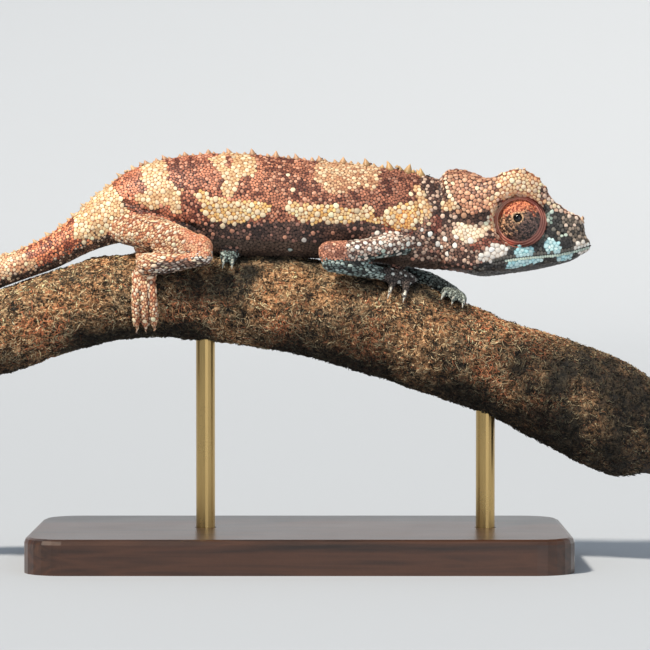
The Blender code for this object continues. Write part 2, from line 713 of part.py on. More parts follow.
def build_eye(side_name, side):
    """(turret, eyeball) of one side, in head millimetres moved to their place."""
    axis = Vector((EYE_AXIS.x, EYE_AXIS.y * side, EYE_AXIS.z)).normalized()
    place = HEAD_PLACE + Vector((EYE_PLACE.x, EYE_PLACE.y * side, EYE_PLACE.z))
    turn = Matrix.Translation(place) @ axis.to_track_quat("Z", "Y").to_matrix().to_4x4()
    bm = turned(TURRET_OUTLINE, TURRET_SIDES)
    bmesh.ops.transform(bm, matrix=turn, verts=bm.verts)
    turret = add_object(f"eye_turret_{side_name}", bm, "lid")
    bm = bmesh.new()
    bmesh.ops.create_uvsphere(bm, u_segments=12, v_segments=7, radius=EYEBALL_RADIUS)
    bmesh.ops.scale(bm, vec=(1, 1, 0.45), verts=bm.verts)
    bmesh.ops.translate(bm, vec=(0, 0, EYEBALL_HEIGHT - EYEBALL_RADIUS * 0.45), verts=bm.verts)
    bmesh.ops.transform(bm, matrix=turn, verts=bm.verts)
    return turret, add_object(f"eyeball_{side_name}", bm, "eye")


def head_scales():
    """Raised scales along the brows, the casque's edge and the lips, and the pointed one on the snout."""
    pieces = []
    for side in (RIGHT, LEFT):
        for line, first, last, count, radius in HEAD_ROWS:
            for k in range(count):
                x = first + (last - first) * k / (count - 1)
                wide, z = line_at(line, x)
                rise = LIP_RISE if line is LIP else 0
                wobble = 1 + 0.18 * math.sin(2.4 * k + 1.1 * side)
                place = HEAD_PLACE + Vector((x, side * (wide - 0.12), z + rise))
                pieces.append(scale_at(place, radius * wobble, Vector((0.1, side, 0.6))))
        for k in range(CASQUE_SCALES):
            t = (k + 0.6) / CASQUE_SCALES
            wide, z = spline(CASQUE_EDGE, t)
            place = HEAD_PLACE + Vector((CASQUE_SCALE_RADIUS + 0.05, side * wide, z))
            pieces.append(scale_at(place, CASQUE_SCALE_RADIUS, Vector((0, side * wide, 4))))
    for k in range(CROWN_SCALES):
        x = 1.4 + 2.0 * k
        place = HEAD_PLACE + Vector((x, 0, line_at(CROWN, x)[1]))
        pieces.append(scale_at(place, CASQUE_SCALE_RADIUS, Vector((0, 0, 1))))
    pieces.append(cone_on(HEAD_PLACE + ROSTRAL_PLACE, ROSTRAL_LEAN, ROSTRAL_TALL, ROSTRAL_WIDE))
    return pieces


def build_head():
    """The head is made whole, fitted round the eyes, and parted at the mouth."""
    rings = [head_section(HEAD_LENGTH * (k / (HEAD_STATIONS - 1)) ** 0.92) for k in range(HEAD_STATIONS)]
    bm = loft(rings)
    bmesh.ops.translate(bm, vec=HEAD_PLACE, verts=bm.verts)
    head = fuse(add_object("head", bm, "skin"), head_scales())
    eyes = [build_eye(name, side) for name, side in (("right", RIGHT), ("left", LEFT))]
    nostrils = []
    for side in (RIGHT, LEFT):
        bm = bmesh.new()
        bmesh.ops.create_uvsphere(bm, u_segments=10, v_segments=6, radius=1)
        bmesh.ops.scale(bm, vec=NOSTRIL_SIZE, verts=bm.verts)
        place = HEAD_PLACE + Vector((NOSTRIL_PLACE.x, NOSTRIL_PLACE.y * side, NOSTRIL_PLACE.z))
        bmesh.ops.translate(bm, vec=place, verts=bm.verts)
        nostrils.append(add_object("nostril", bm, "skin"))
    carve(head, nostrils, keep_cutters=False)
    fit_against(head, [turret for turret, _ in eyes])

    path = [HEAD_PLACE + Vector((x, 0, z)) for x, z in MOUTH_CUT]
    mouth = ribbon([(p.x, p.z) for p in path], MOUTH_WIDTH, 12)
    jaw = head.copy()
    jaw.data = head.data.copy()
    jaw.name = "lower_jaw"
    bpy.context.scene.collection.objects.link(jaw)
    below = jaw_region(path)
    carve(head, [mouth])
    cut = jaw.modifiers.new("region", "BOOLEAN")
    cut.operation = "INTERSECT"
    cut.object = below
    cut.solver = SOLVER
    apply_modifiers(jaw)
    keep_largest(jaw)
    bpy.data.objects.remove(mouth)
    bpy.data.objects.remove(below)
    return head, jaw, eyes


def jaw_region(path):
    """The block below the cut of the mouth, which holds just the lower jaw."""
    half = MOUTH_WIDTH / 2
    edge = []
    for k, p in enumerate(path):
        a, b = path[max(k - 1, 0)], path[min(k + 1, len(path) - 1)]
        across = Vector((-(b.z - a.z), 0, b.x - a.x)).normalized() * half
        edge.append(p + across)
    deep = HEAD_PLACE.z - 12
    corners = edge + [Vector((edge[-1].x, 0, deep)), Vector((edge[0].x, 0, deep))]
    rings = [[c + Vector((0, y, 0)) for c in corners] for y in (-12, 12)]
    return add_object("jaw_region", loft(rings), "skin")


def mirrored(points, side):
    return [(x, y * side, z) for x, y, z in points]


def claw_from(place, ahead, down):
    """A curved claw whose root is sunk in the toe."""
    path = [
        place - ahead * 0.7,
        place + ahead * CLAW_LENGTH * 0.35,
        place + ahead * CLAW_LENGTH * 0.7 + down * CLAW_LENGTH * 0.12,
        place + ahead * CLAW_LENGTH * 0.9 + down * CLAW_LENGTH * 0.42,
    ]
    radii = (CLAW_RADIUS, CLAW_RADIUS, CLAW_RADIUS * 0.65, CLAW_RADIUS * 0.25)
    return add_object("claw", tube([tuple(p) for p in path], radii, CLAW_SIDES, 3, tip=True), "skin")


def toe_path(limb, offset, turns, lift):
    """Points down the side of the branch, each with the way out from it."""
    found = []
    for k, turn in enumerate(turns):
        spread = TOE_BUNCHED + (1 - TOE_BUNCHED) * k / (len(turns) - 1)
        place, out = on_branch(limb["foot_x"] + offset * spread, math.radians(turn) * limb["side"], lift)
        found.append(tuple(place) + tuple(out))
    return found


def build_bundle(limb, count, split, end):
    """Toes bound together in a mitt over the branch as far as split, then free to their tips."""
    middle = (count - 1) / 2
    toe_radius, tip_radius = TOE_RADIUS * limb["toe_size"], TOE_TIP_RADIUS * limb["toe_size"]
    width = (middle * limb["toe_spacing"] * TOE_BUNCHED + toe_radius) / MITT_THICK
    start = limb["palm_turn"]
    turns = [start + (split - start) * k / 3 for k in range(4)]
    mitt = toe_path(limb, 0, turns, MITT_THICK + FOOT_LIFT)
    pieces = [add_object("mitt", tube(mitt, (MITT_THICK,) * 4, MITT_SIDES, 4, wide=width), "skin")]
    for k in range(count):
        reach = split + (end - split) * (1 - 0.12 * abs(k - middle))
        turns = [start + (split - start) * 0.7, split, (split + reach) / 2, reach]
        path = toe_path(limb, (k - middle) * limb["toe_spacing"], turns, toe_radius + FOOT_LIFT)
        pieces.append(add_object("toe", tube(path, (toe_radius,) * 3 + (tip_radius,), TOE_SIDES, 4), "skin"))
        tip, before = Vector(path[-1][:3]), Vector(path[-2][:3])
        ahead, out = (tip - before).normalized(), Vector(path[-1][3:])
        pieces.append(claw_from(tip + ahead * tip_radius * 0.7 + out * 0.1, ahead, -out * 0.3))
    return pieces


def build_foot(name, limb, ankle):
    """The ankle and heel over the branch, with one bundle of toes down each side of it."""
    heel = toe_path(limb, 0, [limb["palm_turn"]] * 2, MITT_THICK + FOOT_LIFT)[0]
    heel = Vector(heel[:3])
    path = [tuple(ankle), tuple(ankle.lerp(heel, 0.5)), tuple(heel)]
    foot = add_object(name, tube(path, (WRIST_RADIUS, WRIST_RADIUS, MITT_THICK * 1.5), MITT_SIDES, 3), "skin")
    pieces = [piece for toes in limb["toes"].values() for piece in build_bundle(limb, *toes)]
    return fuse(foot, pieces)


def build_limb(prefix, limb, upper_name, lower_name, foot_name, body, branch):
    """Upper and lower limb and foot, each cut clear of what it grows from."""
    side = limb["side"]
    points, radii = limb[upper_name]
    drawn = tube(mirrored(points, side), radii, LIMB_SIDES, LIMB_STATIONS, round_ends=LIMB_ENDS)
    upper = add_object(f"{upper_name}_{prefix}", drawn, "skin")
    fit_against(upper, body)
    points, radii = limb[lower_name]
    drawn = tube(mirrored(points, side), radii, LIMB_SIDES, LIMB_STATIONS, round_ends=LIMB_ENDS)
    lower = add_object(f"{lower_name}_{prefix}", drawn, "skin")
    fit_against(lower, [upper] + body)
    ankle = Vector(mirrored(points, side)[-1])
    foot = build_foot(f"{foot_name}_{prefix}", limb, ankle)
    fit_against(foot, [lower, branch])
    return upper, lower, foot


def main():
    clear_scene()
    base, rods = build_stand()
    branch = build_branch()
    carve(branch, [swollen(r) for r in rods], keep_cutters=False)
    carve(base, [swollen(r) for r in rods], keep_cutters=False)
    neck, torso, tail = build_body()
    head, jaw, eyes = build_head()
    for prefix, limb in HIND_LIMBS.items():
        _, _, foot = build_limb(prefix, limb, "thigh", "shin", "foot", [torso, tail[0]], branch)
        fit_against(torso, [foot])  # the belly rests on the feet where they cross the branch
    for prefix, limb in FORE_LIMBS.items():
        build_limb(prefix, limb, "upper_arm", "forearm", "hand", [torso, neck], branch)
    holder = bpy.data.objects.new("chameleon", None)
    bpy.context.scene.collection.objects.link(holder)
    for thing in list(bpy.context.scene.objects):
        if thing.type == "MESH":
            thing.parent = holder


main()
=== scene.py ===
"""The finished look of a life-size Jackson's chameleon on a cut length of branch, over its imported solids.

The modelling is done in millimetres, in the frame of the solids: +X is ahead, -Y its right side, +Z up.
Marks on the animal are drawn on a side sheet, whose steps are 0.23 mm: across from x = -69 and down from
z = 129.95. Colours are given as they would look in plain light, by their hexadecimal codes.
"""

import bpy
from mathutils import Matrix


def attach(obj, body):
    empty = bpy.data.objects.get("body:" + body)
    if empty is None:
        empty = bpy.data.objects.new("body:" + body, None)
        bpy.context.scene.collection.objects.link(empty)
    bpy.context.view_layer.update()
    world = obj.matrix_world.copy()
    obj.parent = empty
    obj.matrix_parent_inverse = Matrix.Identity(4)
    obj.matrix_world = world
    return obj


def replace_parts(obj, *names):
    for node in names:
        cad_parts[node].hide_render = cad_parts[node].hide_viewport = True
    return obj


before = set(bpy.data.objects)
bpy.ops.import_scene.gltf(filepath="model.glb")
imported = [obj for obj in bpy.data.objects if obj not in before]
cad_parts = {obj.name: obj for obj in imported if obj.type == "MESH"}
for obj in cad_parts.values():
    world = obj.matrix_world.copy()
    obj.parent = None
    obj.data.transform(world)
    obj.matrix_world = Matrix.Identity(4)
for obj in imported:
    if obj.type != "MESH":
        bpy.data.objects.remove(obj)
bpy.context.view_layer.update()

import math

import bmesh
import bpy
import numpy as np
from mathutils import Matrix, Vector, noise
from mathutils.bvhtree import BVHTree
from mathutils.kdtree import KDTree

MM = 0.001
RIGHT, LEFT = -1, 1  # the sign of Y on each side
SHEET_STEP, SHEET_ORIGIN = 0.23, (-69.0, 129.95)

# Camera
VIEW_MIDDLE = Vector((5.75, -7.0, 55.2))
VIEW_WIDTH = 149.5  # of the picture, at the near flank
VIEW_DISTANCE = 750.0
VIEW_UP = math.radians(1.5)
SENSOR = 36.0

# Studio
FLOOR_RADIUS, WALL_BEND, WALL_TOP = 1700.0, 900.0, 1500.0

# Skin
SWELL = 0.2  # closes the thin cuts between the solids before they are joined
VOXEL = 0.4
SKIN_SMOOTHING = 14
COAT_DEPTH = 0.16
# The ridge of the back that is levelled: its half width, the most that its skin tilts, where it ends ahead and
# below, the rounds of smoothing, and how far its middle is raised again
RIDGE_WIDTH, RIDGE_TILT, RIDGE_AHEAD, RIDGE_LOW = 1.7, -0.4, 42, 64
RIDGE_SMOOTHING, RIDGE_LIFT = 40, 0.3
REGIONS = {
    "head": ("head", "lower_jaw"),
    "trunk": ("neck", "torso"),
    "tail": ("tail_base", "tail_second", "tail_third", "tail_fourth", "tail_tip"),
    "hind": ("thigh_right", "thigh_left", "shin_right", "shin_left", "foot_right", "foot_left"),
    "fore": ("upper_arm_right", "upper_arm_left", "forearm_right", "forearm_left", "hand_right", "hand_left"),
}
FLESH = tuple(name for names in REGIONS.values() for name in names)
LIMBS = REGIONS["hind"] + REGIONS["fore"]

# Head, as the solids have it
HEAD_PLACE = Vector((33.0, 0, 71.1))
MOUTH_CUT = ((37.0, 2.45), (33.7, 2.2), (30.2, 1.2), (26.8, 0.5), (22.2, 0.05), (18.3, -0.3),
             (14.4, -0.8), (10.8, -1.8), (8.0, -2.8), (6.1, -3.9), (4.4, -6.5))  # fmt: skip
EYE_PLACE = Vector((17.9, 2.4, 7.75))
EYE_AXIS = Vector((-0.15, 1.0, 0.15))
EYE_SOCKET = 6.0
MOUTH_DEPTH, MOUTH_WIDTH = 0.32, 0.2
NOSTRIL_PLACE = Vector((28.0, 4.05, 4.9))
NOSTRIL_SHIFT = Vector((-0.5, 0, 0.4))  # to the middle of its opening, above the pale plate round it
NOSTRIL_DEPTH, NOSTRIL_RADIUS = 0.8, 0.5
SOCKET_FLOOR = 0.3  # over the foot of the eye, where the skin of the socket lies
ROSTRAL_PLACE = Vector((32.2, 0, 8.1))

# Branch, as the solids have it: (x, z, radius)
BRANCH_LINE = (
    (-105, 46.8, 8.7), (-86, 49.7, 9.0), (-69, 53.5, 9.3), (-55.2, 58.2, 9.5), (-44, 61.2, 9.7),
    (-32, 62.0, 9.7), (-16, 60.65, 9.8), (0, 59.25, 10.75), (23, 53.35, 11.35), (36.8, 48.4, 11.2),
    (46, 45.1, 10.9), (64.4, 37.5, 12.5), (72, 33.7, 12.7), (78, 30.3, 11.3), (83.5, 27.6, 7.4),
)  # fmt: skip
BRANCH_START, BRANCH_END = -105, 83.5
BARK_RELIEF, BARK_SCALE = 0.32, 9.0

# Tail where it winds round the branch, as the solids have it
WIND_START, WIND_END = -78.5, -99.0
WIND_TURN, WIND_EASE = math.radians(390), 0.3
TAIL_AT_WIND, TAIL_AT_TIP, TAIL_CLEAR = 2.75, 0.75, 0.75

# Crest along the back
CREST_PLACES = (28.1, 24.8, 20.7, 15.2, 9.7, 4.4, -0.7, -5.8, -11.0, -16.3, -21.2, -26.5, -31.3, -35.4, -38.4)
CREST_TAIL_PITCH, CREST_START, CREST_STEP = 3.6, 31.0, 0.6
CREST_TALL, CREST_SMALL = 1.95, 1.05
SPINE_SIDES = 8
# Heights up a spine, and how wide it is there
SPINE_OUTLINE = (
    (-0.3, 1.15), (0.0, 1.02), (0.2, 0.82), (0.42, 0.58), (0.66, 0.36), (0.86, 0.19), (0.98, 0.06),
)  # fmt: skip

# Feet: where each stands, and its toes as (how many, degrees round the branch where they part and end)
FEET = {
    "foot_right": dict(side=RIGHT, x=-35.6, palm=60, size=1.0, spacing=2.2, toes=((3, 94, 128), (2, 6, -14))),
    "foot_left": dict(side=LEFT, x=-17.4, palm=38, size=1.0, spacing=2.1, toes=((3, 84, 102), (2, -10, -34))),
    "hand_right": dict(side=RIGHT, x=19.9, palm=20, size=0.78, spacing=3.2, toes=((2, 27, 43), (3, 0, -14))),
    "hand_left": dict(side=LEFT, x=31.3, palm=10, size=0.85, spacing=2.2, toes=((2, 36, 48), (3, -10, -22))),
}  # fmt: skip
FOOT_LIFT, TOE_RADIUS, TOE_TIP_RADIUS, TOE_BUNCHED = 0.42, 1.08, 0.86, 0.85
CLAW_LENGTH, CLAW_RADIUS = 2.0, 0.5
CLAW_RINGS, CLAW_SIDES = 9, 10

RNG = np.random.default_rng(20)


# Colours and marks


def plain(code):
    """The light of a colour, given by its hexadecimal code."""
    shares = [value / 255 for value in bytes.fromhex(code)]
    return np.array([s / 12.92 if s <= 0.04045 else ((s + 0.055) / 1.055) ** 2.4 for s in shares])


def mix(first, second, share):
    return first * (1 - share) + second * share


# Painted shade: the near black painted into the mouth's line and the nostrils
PAINTED_HOLLOW_SHADE = plain("1c1817")  # the dark of the mouth's line and of the nostrils
# How scales are domed: the share of the width that the brow takes, the height over half the width, and whether
# the brow is a sharp edge round a flat top
TILE, COBBLE, BEAD, KNOB = (0.93, 0.32, 1), (0.9, 0.44, 1), (0.84, 0.5, 0), (0.88, 0.44, 0)
# Each kind of scale: its two colours, that of the skin between, that of large scales; radius, share of large
# ones, their radius, how it is domed, and the share by which it is narrower than long on a limb
KINDS = {
    "brown": ("eca382 7a4538 2e1915 f4bca0", 0.3, 0.07, 0.46, COBBLE, 0),
    # flank, belly and under: dark partly as the animal's own colour, partly as painted shade on its lower and
    # under sides
    "flank": ("7a5a4e 3e2e2a 1a1210 c48e7c", 0.31, 0.05, 0.42, COBBLE, 0),
    "belly": ("705c50 4e3e36 221a16 e0b892", 0.36, 0, 0.5, COBBLE, 0),
    "under": ("866858 3a2f2a 1e1614 d8c0aa", 0.27, 0.08, 0.36, BEAD, 0.4),
    "cream": ("ecca9c deb282 a46c46 f4e0be", 0.37, 0.2, 0.58, TILE, 0),
    "fine_cream": ("e6bc92 c08866 784832 f2d8b4", 0.32, 0.16, 0.48, TILE, 0),
    "stripe": ("f8daac f6c074 985a30 fbeacb", 0.37, 0.26, 0.6, TILE, 0),
    "orange": ("f4b264 f8d496 b66034 fbeacb", 0.32, 0.2, 0.56, TILE, 0),
    "rose": ("de9074 9e5a49 2e1915 f4bca0", 0.3, 0.1, 0.46, COBBLE, 0),
    "white": ("faf6f0 ece4da b8a698 fcf4ea", 0.44, 0.2, 0.62, TILE, 0),
    "cheek": ("f8ead4 eed6b6 b69272 fbeacb", 0.42, 0.15, 0.6, TILE, 0),
    "sky": ("b8ecf4 d8f6f8 8abac2 d8f6f8", 0.4, 0.2, 0.54, TILE, 0),
    "mint": ("becec0 9aaea2 54605a cedcce", 0.36, 0.1, 0.48, TILE, 0),
    "charcoal": ("54504c 323030 1c1817 78746c", 0.34, 0.05, 0.44, COBBLE, 0),
    "snout": ("8a7c6e 403c38 1c1817 baa694", 0.38, 0.12, 0.48, COBBLE, 0),
    "snout_top": ("f4ceb4 d8a48a 5c3e32 fce4d0", 0.42, 0.25, 0.56, COBBLE, 0),
    "casque": ("c48a6c 825240 2e1a15 e0ae8c", 0.42, 0.3, 0.62, COBBLE, 0),
    "brow": ("ffdcae f6be90 a46244 fce2c4", 0.4, 0.25, 0.58, COBBLE, 0),
    "nape": ("b08672 4c332d 1c1211 e2c2ac", 0.33, 0.2, 0.5, COBBLE, 0),
    # groove: dark partly as painted shadow under the overhang of the casque
    "groove": ("60443a 3a2a25 1a1412 966e5c", 0.36, 0.1, 0.46, COBBLE, 0),
    "limb": ("ffd8ac d48e68 96543a ffeace", 0.25, 0.12, 0.42, KNOB, 0.6),
    "limb_white": ("f6ece0 886656 48322b fbeacb", 0.22, 0.05, 0.32, KNOB, 0.68),
    "knee": ("ffc69c e89874 a25c44 f4bca0", 0.24, 0.04, 0.34, TILE, 0.3),
    "elbow": ("e6a284 9e6652 683c30 f4bca0", 0.24, 0.04, 0.34, COBBLE, 0),
    "arm": ("e8c6b2 78564c 34231f faeee0", 0.27, 0.3, 0.44, COBBLE, 0.2),
    # limb_dark and limb_grey: grey of the forearms, hands and far foot, darkened partly as painted shade where
    # they lie in shadow
    "limb_dark": ("645650 403836 1c1817 e2e4de", 0.27, 0.04, 0.42, BEAD, 0.3),
    "limb_grey": ("8ca09c 2e3131 161717 bcccc6", 0.24, 0.05, 0.36, KNOB, 0.66),
    "limb_pale": ("96a098 545c58 282a29 becac2", 0.25, 0.05, 0.34, KNOB, 0.5),
}
FIRST, SECOND, BETWEEN, OF_LARGE = range(4)
COLOURS, RADIUS, LARGE_SHARE, LARGE_RADIUS, DOME, LONGER = range(6)
KIND_NUMBERS = {name: number for number, name in enumerate(KINDS)}
# Painted light: how much paler the brown is along the sheet, for red, green and blue, and the cream for all
# three, lighter at the tail and hip and darker towards the head
PAINTED_LIGHT_PLACES = (0, 90, 150, 280, 400)
PAINTED_LIGHT_BROWN = ((1.55, 1.22, 0.88, 0.86, 0.56), (1.2, 0.9, 0.7, 0.8, 0.5), (0.95, 0.66, 0.65, 0.75, 0.5))
PAINTED_LIGHT_CREAM = (1.3, 1.15, 1.08, 1.0, 1.0)
# How far the edges of marks wander, in steps of the sheet: on the near side, on the far side, and in detail
NEAR_WANDER, FAR_WANDER, FINE_WANDER = 1.8, 6.0, 2.6

# Marks on the trunk and tail, in steps of the side sheet
TRUNK_MARKS = (
    ("fine_cream", ((-60, 262), (0, 252), (16, 248), (22, 254), (31, 258), (37, 268), (40, 275), (24, 280),
                    (0, 286), (-60, 292))),
    ("rose", ((2, 258), (9, 256), (12, 262), (4, 266))),
    ("cream", ((108, 180), (113, 190), (120, 197), (123, 205), (130, 213), (130, 220), (122, 223), (112, 229),
               (104, 235), (96, 240), (84, 242), (75, 239), (71, 230), (74, 222), (72, 214), (77, 208),
               (86, 200), (92, 194), (99, 188))),
    ("cream", ((139, 168), (146, 160), (156, 160), (165, 161), (167, 170), (169, 181), (173, 185), (179, 190),
               (183, 191), (182, 200), (180, 211), (174, 214), (170, 207), (163, 204), (157, 208), (150, 210),
               (143, 205), (133, 201), (137, 192), (148, 193), (147, 187), (142, 180))),
    ("brown", ((226, 156), (231, 156), (232, 165), (228, 167))),
    ("cream", ((211, 158), (219, 153), (230, 150), (246, 153), (256, 158), (255, 166), (257, 172), (249, 176),
               (241, 176), (237, 183), (234, 191), (230, 198), (222, 195), (221, 188), (225, 181), (219, 173),
               (214, 166))),
    ("stripe", ((195, 196), (200, 191), (208, 194), (216, 198), (228, 200), (243, 201), (257, 201),
                (270, 206), (269, 212), (261, 217), (250, 221), (232, 224), (214, 221), (206, 217),
                (203, 211), (201, 205))),
    ("stripe", ((283, 208), (288, 203), (300, 203), (316, 206), (330, 206), (350, 207), (368, 206),
                (374, 210), (372, 216), (360, 219), (354, 224), (344, 225), (330, 223), (314, 223),
                (299, 221), (299, 217), (291, 215))),
    ("brown", ((373, 208), (383, 209), (382, 215), (372, 214))),
    ("orange", ((352, 217), (364, 213), (382, 216), (390, 222), (404, 227), (400, 231), (380, 224),
                (360, 221))),
    ("orange", ((397, 210), (408, 207), (417, 213), (414, 221), (416, 229), (404, 230), (396, 220))),
    ("stripe", ((383, 212), (390, 207), (398, 205), (410, 203), (417, 203), (422, 210), (425, 219),
                (420, 223), (413, 226), (404, 229), (394, 226), (387, 223), (383, 219))),
    ("cream", ((412, 186), (418, 182), (423, 190), (428, 198), (431, 206), (433, 214), (429, 217), (423, 212),
               (418, 206), (415, 198))),
    ("fine_cream", ((315, 165), (320, 156), (344, 156), (362, 158), (374, 160), (381, 168), (380, 178),
                    (376, 187), (371, 191), (361, 187), (354, 189), (346, 193), (336, 195), (327, 193),
                    (323, 186), (317, 182), (313, 174))),
    ("rose", ((427, 217), (441, 215), (445, 226), (441, 234), (432, 232))),
    ("rose", ((384, 226), (396, 230), (412, 232), (412, 238), (396, 238), (386, 234))),
    ("nape", ((390, 226), (440, 222), (454, 232), (454, 262), (404, 262), (392, 244))),
)  # fmt: skip
# Marks on the head; the first that holds a scale counts
HEAD_MARKS = (
    ("white", ((480, 258), (483, 250), (490, 246), (500, 244), (512, 247), (508, 253), (501, 257), (494, 261),
               (486, 263), (481, 261))),
    ("sky", ((515, 256), (517, 249), (524, 246), (532, 247), (537, 252), (533, 256), (524, 257))),
    ("sky", ((545, 250), (546, 241), (552, 238), (558, 241), (562, 249), (560, 253), (548, 254))),
    ("mint", ((540, 240), (545, 232), (548, 233), (545, 240), (541, 243))),
    ("sky", ((506, 267), (509, 259), (520, 258), (541, 257), (541, 262), (531, 265), (520, 267), (511, 270))),
    ("sky", ((553, 255), (562, 253), (575, 252), (573, 258), (565, 261), (557, 260))),
    ("white", ((574, 245), (580, 241), (590, 243), (591, 247), (580, 249), (575, 248))),
    ("white", ((579, 252), (592, 248), (590, 252), (582, 256))),
    ("mint", ((546, 212), (552, 211), (554, 218), (550, 222), (546, 219))),
    # Painted light: the back rim of the eye socket, turned from the light, takes the pale brow kind
    ("brow", ((487, 198), (497, 196), (498, 232), (491, 232), (490, 214))),
    ("cheek", ((453, 227), (460, 224), (468, 223), (480, 226), (487, 222), (490, 210), (494, 211), (493, 226),
               (488, 231), (483, 236), (476, 240), (470, 245), (460, 241), (454, 237))),
    # partly painted shadow under the overhang of the casque
    ("groove", ((455, 221), (460, 216), (473, 216), (484, 212), (490, 211), (489, 218), (482, 222),
                (472, 224), (462, 224))),
    ("cream", ((439, 211), (442, 201), (450, 199), (457, 203), (456, 209), (448, 212))),
    ("nape", ((539, 189), (547, 187), (551, 197), (543, 200))),
    ("casque", ((442, 150), (497, 150), (498, 178), (495, 197), (488, 211), (472, 216), (461, 214),
                (450, 200), (444, 186))),
    ("brow", ((496, 150), (550, 150), (550, 200), (542, 206), (530, 198), (494, 199))),
    ("snout_top", ((546, 190), (600, 205), (600, 222), (584, 222), (566, 214), (549, 209))),
    ("snout", ((562, 214), (596, 224), (596, 242), (576, 243), (570, 238), (562, 228))),
    ("rose", ((470, 240), (500, 238), (512, 247), (500, 246), (482, 250), (472, 252))),
    ("nape", ((440, 240), (470, 246), (480, 252), (478, 264), (460, 262), (440, 262))),
    ("charcoal", ((540, 196), (556, 210), (592, 220), (600, 262), (530, 285), (470, 280), (474, 264),
                  (500, 258), (508, 246), (514, 240), (530, 240), (546, 232))),
)  # fmt: skip
# Large scales that stand out: (across, down, radius) on the sheet and their kind
NOTED_SCALES = (
    (223, 226, 2.9, "cream"), (293, 190, 2.8, "cream"), (304, 240, 2.8, "white"), (377, 233, 2.6, "white"),
    (397, 233, 3.0, "white"), (408, 244, 2.8, "white"), (399, 254, 3.1, "white"), (445, 239, 2.8, "white"),
    (438, 244, 3.0, "white"), (430, 234, 2.6, "white"), (432, 251, 2.0, "rose"), (447, 254, 2.7, "white"),
    (438, 252, 2.1, "rose"), (411, 203, 2.4, "cream"), (405, 216, 2.8, "cream"), (387, 212, 3.1, "cream"),
    (288, 208, 3.2, "cream"), (301, 210, 2.8, "cream"), (325, 211, 2.4, "cream"), (338, 211, 2.4, "cream"),
    (357, 211, 3.2, "cream"), (345, 222, 2.5, "cream"), (303, 221, 2.8, "cream"), (252, 205, 2.6, "cream"),
    (238, 204, 2.8, "cream"), (206, 213, 3.3, "cream"), (231, 218, 2.8, "cream"), (216, 199, 2.8, "cream"),
    (263, 215, 3.0, "cream"), (199, 196, 3.6, "cream"), (207, 194, 2.4, "cream"), (249, 226, 2.4, "rose"),
    (248, 238, 2.4, "rose"), (232, 231, 2.6, "rose"), (313, 233, 2.4, "rose"), (333, 233, 2.4, "rose"),
    (285, 237, 2.3, "rose"), (213, 234, 2.1, "rose"), (208, 165, 2.2, "rose"), (337, 170, 2.4, "cream"),
    (321, 168, 2.2, "cream"), (363, 170, 2.4, "cream"), (326, 184, 2.2, "cream"), (374, 187, 2.4, "cream"),
    (354, 178, 2.2, "cream"), (237, 171, 2.9, "cream"), (288, 175, 2.2, "brow"), (127, 216, 3.2, "cream"),
    (101, 206, 2.2, "cream"), (47, 235, 2.0, "cream"), (92, 228, 2.2, "cream"), (75, 234, 2.2, "cream"),
    (144, 174, 3.0, "cream"), (155, 170, 2.8, "cream"), (179, 207, 2.8, "cream"), (206, 224, 2.2, "rose"),
    (227, 165, 2.0, "rose"), (257, 190, 2.2, "rose"), (207, 179, 2.2, "rose"), (186, 184, 2.2, "rose"),
    (290, 250, 2.2, "limb_grey"), (411, 194, 2.6, "cream"), (425, 195, 2.2, "cream"),
    (421, 206, 2.4, "cream"), (429, 224, 2.2, "cream"), (384, 237, 2.2, "white"), (390, 245, 2.4, "white"),
    (419, 244, 2.4, "white"), (413, 259, 2.2, "rose"), (445, 262, 2.0, "rose"), (456, 237, 2.4, "white"),
    (462, 249, 2.3, "rose"), (464, 215.5, 3.3, "casque"), (463.8, 201, 3.0, "casque"),
    (472.4, 197.2, 2.8, "casque"), (475.4, 207.6, 2.4, "casque"), (479.3, 200.6, 2.5, "casque"),
    (484.9, 196.4, 2.6, "casque"), (485.7, 191, 2.4, "casque"), (479, 192.2, 2, "casque"),
    (477, 188.3, 2.2, "cream"), (471.3, 185, 2.3, "casque"), (462, 185.3, 2.3, "casque"),
    (461, 192.2, 2.4, "casque"), (453.2, 183.3, 2.2, "cream"), (453.2, 191.7, 2.2, "casque"),
    (470.7, 203.9, 2.2, "casque"), (470.4, 240.5, 3.6, "white"), (486, 229, 2.4, "cheek"),
    (478, 232, 2.2, "cheek"), (523, 187, 2.6, "brow"), (509, 174, 2.2, "brow"), (555, 206, 2.4, "cream"),
    (549, 203, 2.2, "cream"), (562, 211, 2.2, "snout_top"), (570, 216, 2.3, "snout_top"),
    (577, 222, 2.0, "snout"), (483, 248, 2.4, "rose"), (480, 243, 2.0, "rose"), (586, 216, 2.0, "cream"),
    (357, 247, 2.6, "white"), (369, 249, 2.4, "white"), (380.5, 243, 2.6, "white"),
    (391, 245.5, 2.4, "white"), (386, 256, 2.2, "white"), (422, 230, 2.0, "white"),
    (442, 247, 2.2, "white"), (455, 245.5, 2.8, "white"), (562.6, 235.8, 1.7, "mint"),
    (566.6, 234.8, 1.8, "mint"), (559, 233.5, 2.2, "snout"), (579, 243.5, 2.6, "white"),
    (584.5, 242, 2.6, "white"), (588.5, 244, 2.3, "white"), (583, 247, 2.4, "white"),
    (577, 247.5, 2.2, "snout_top"), (567, 225, 1.9, "snout_top"), (571, 229, 1.8, "snout"),
    (575.5, 225, 1.9, "snout_top"), (579.5, 228.5, 2.2, "snout"), (569, 232, 1.7, "snout"),
    (135, 320, 2.8, "cream"), (145.5, 321, 2.6, "cream"), (154, 319, 2.8, "cream"),
    (358, 246, 2.8, "white"), (365, 243, 2.4, "white"), (374, 243, 2.4, "white"), (383, 251, 2.6, "mint"),
    (388, 254, 2.6, "white"),
)  # fmt: skip
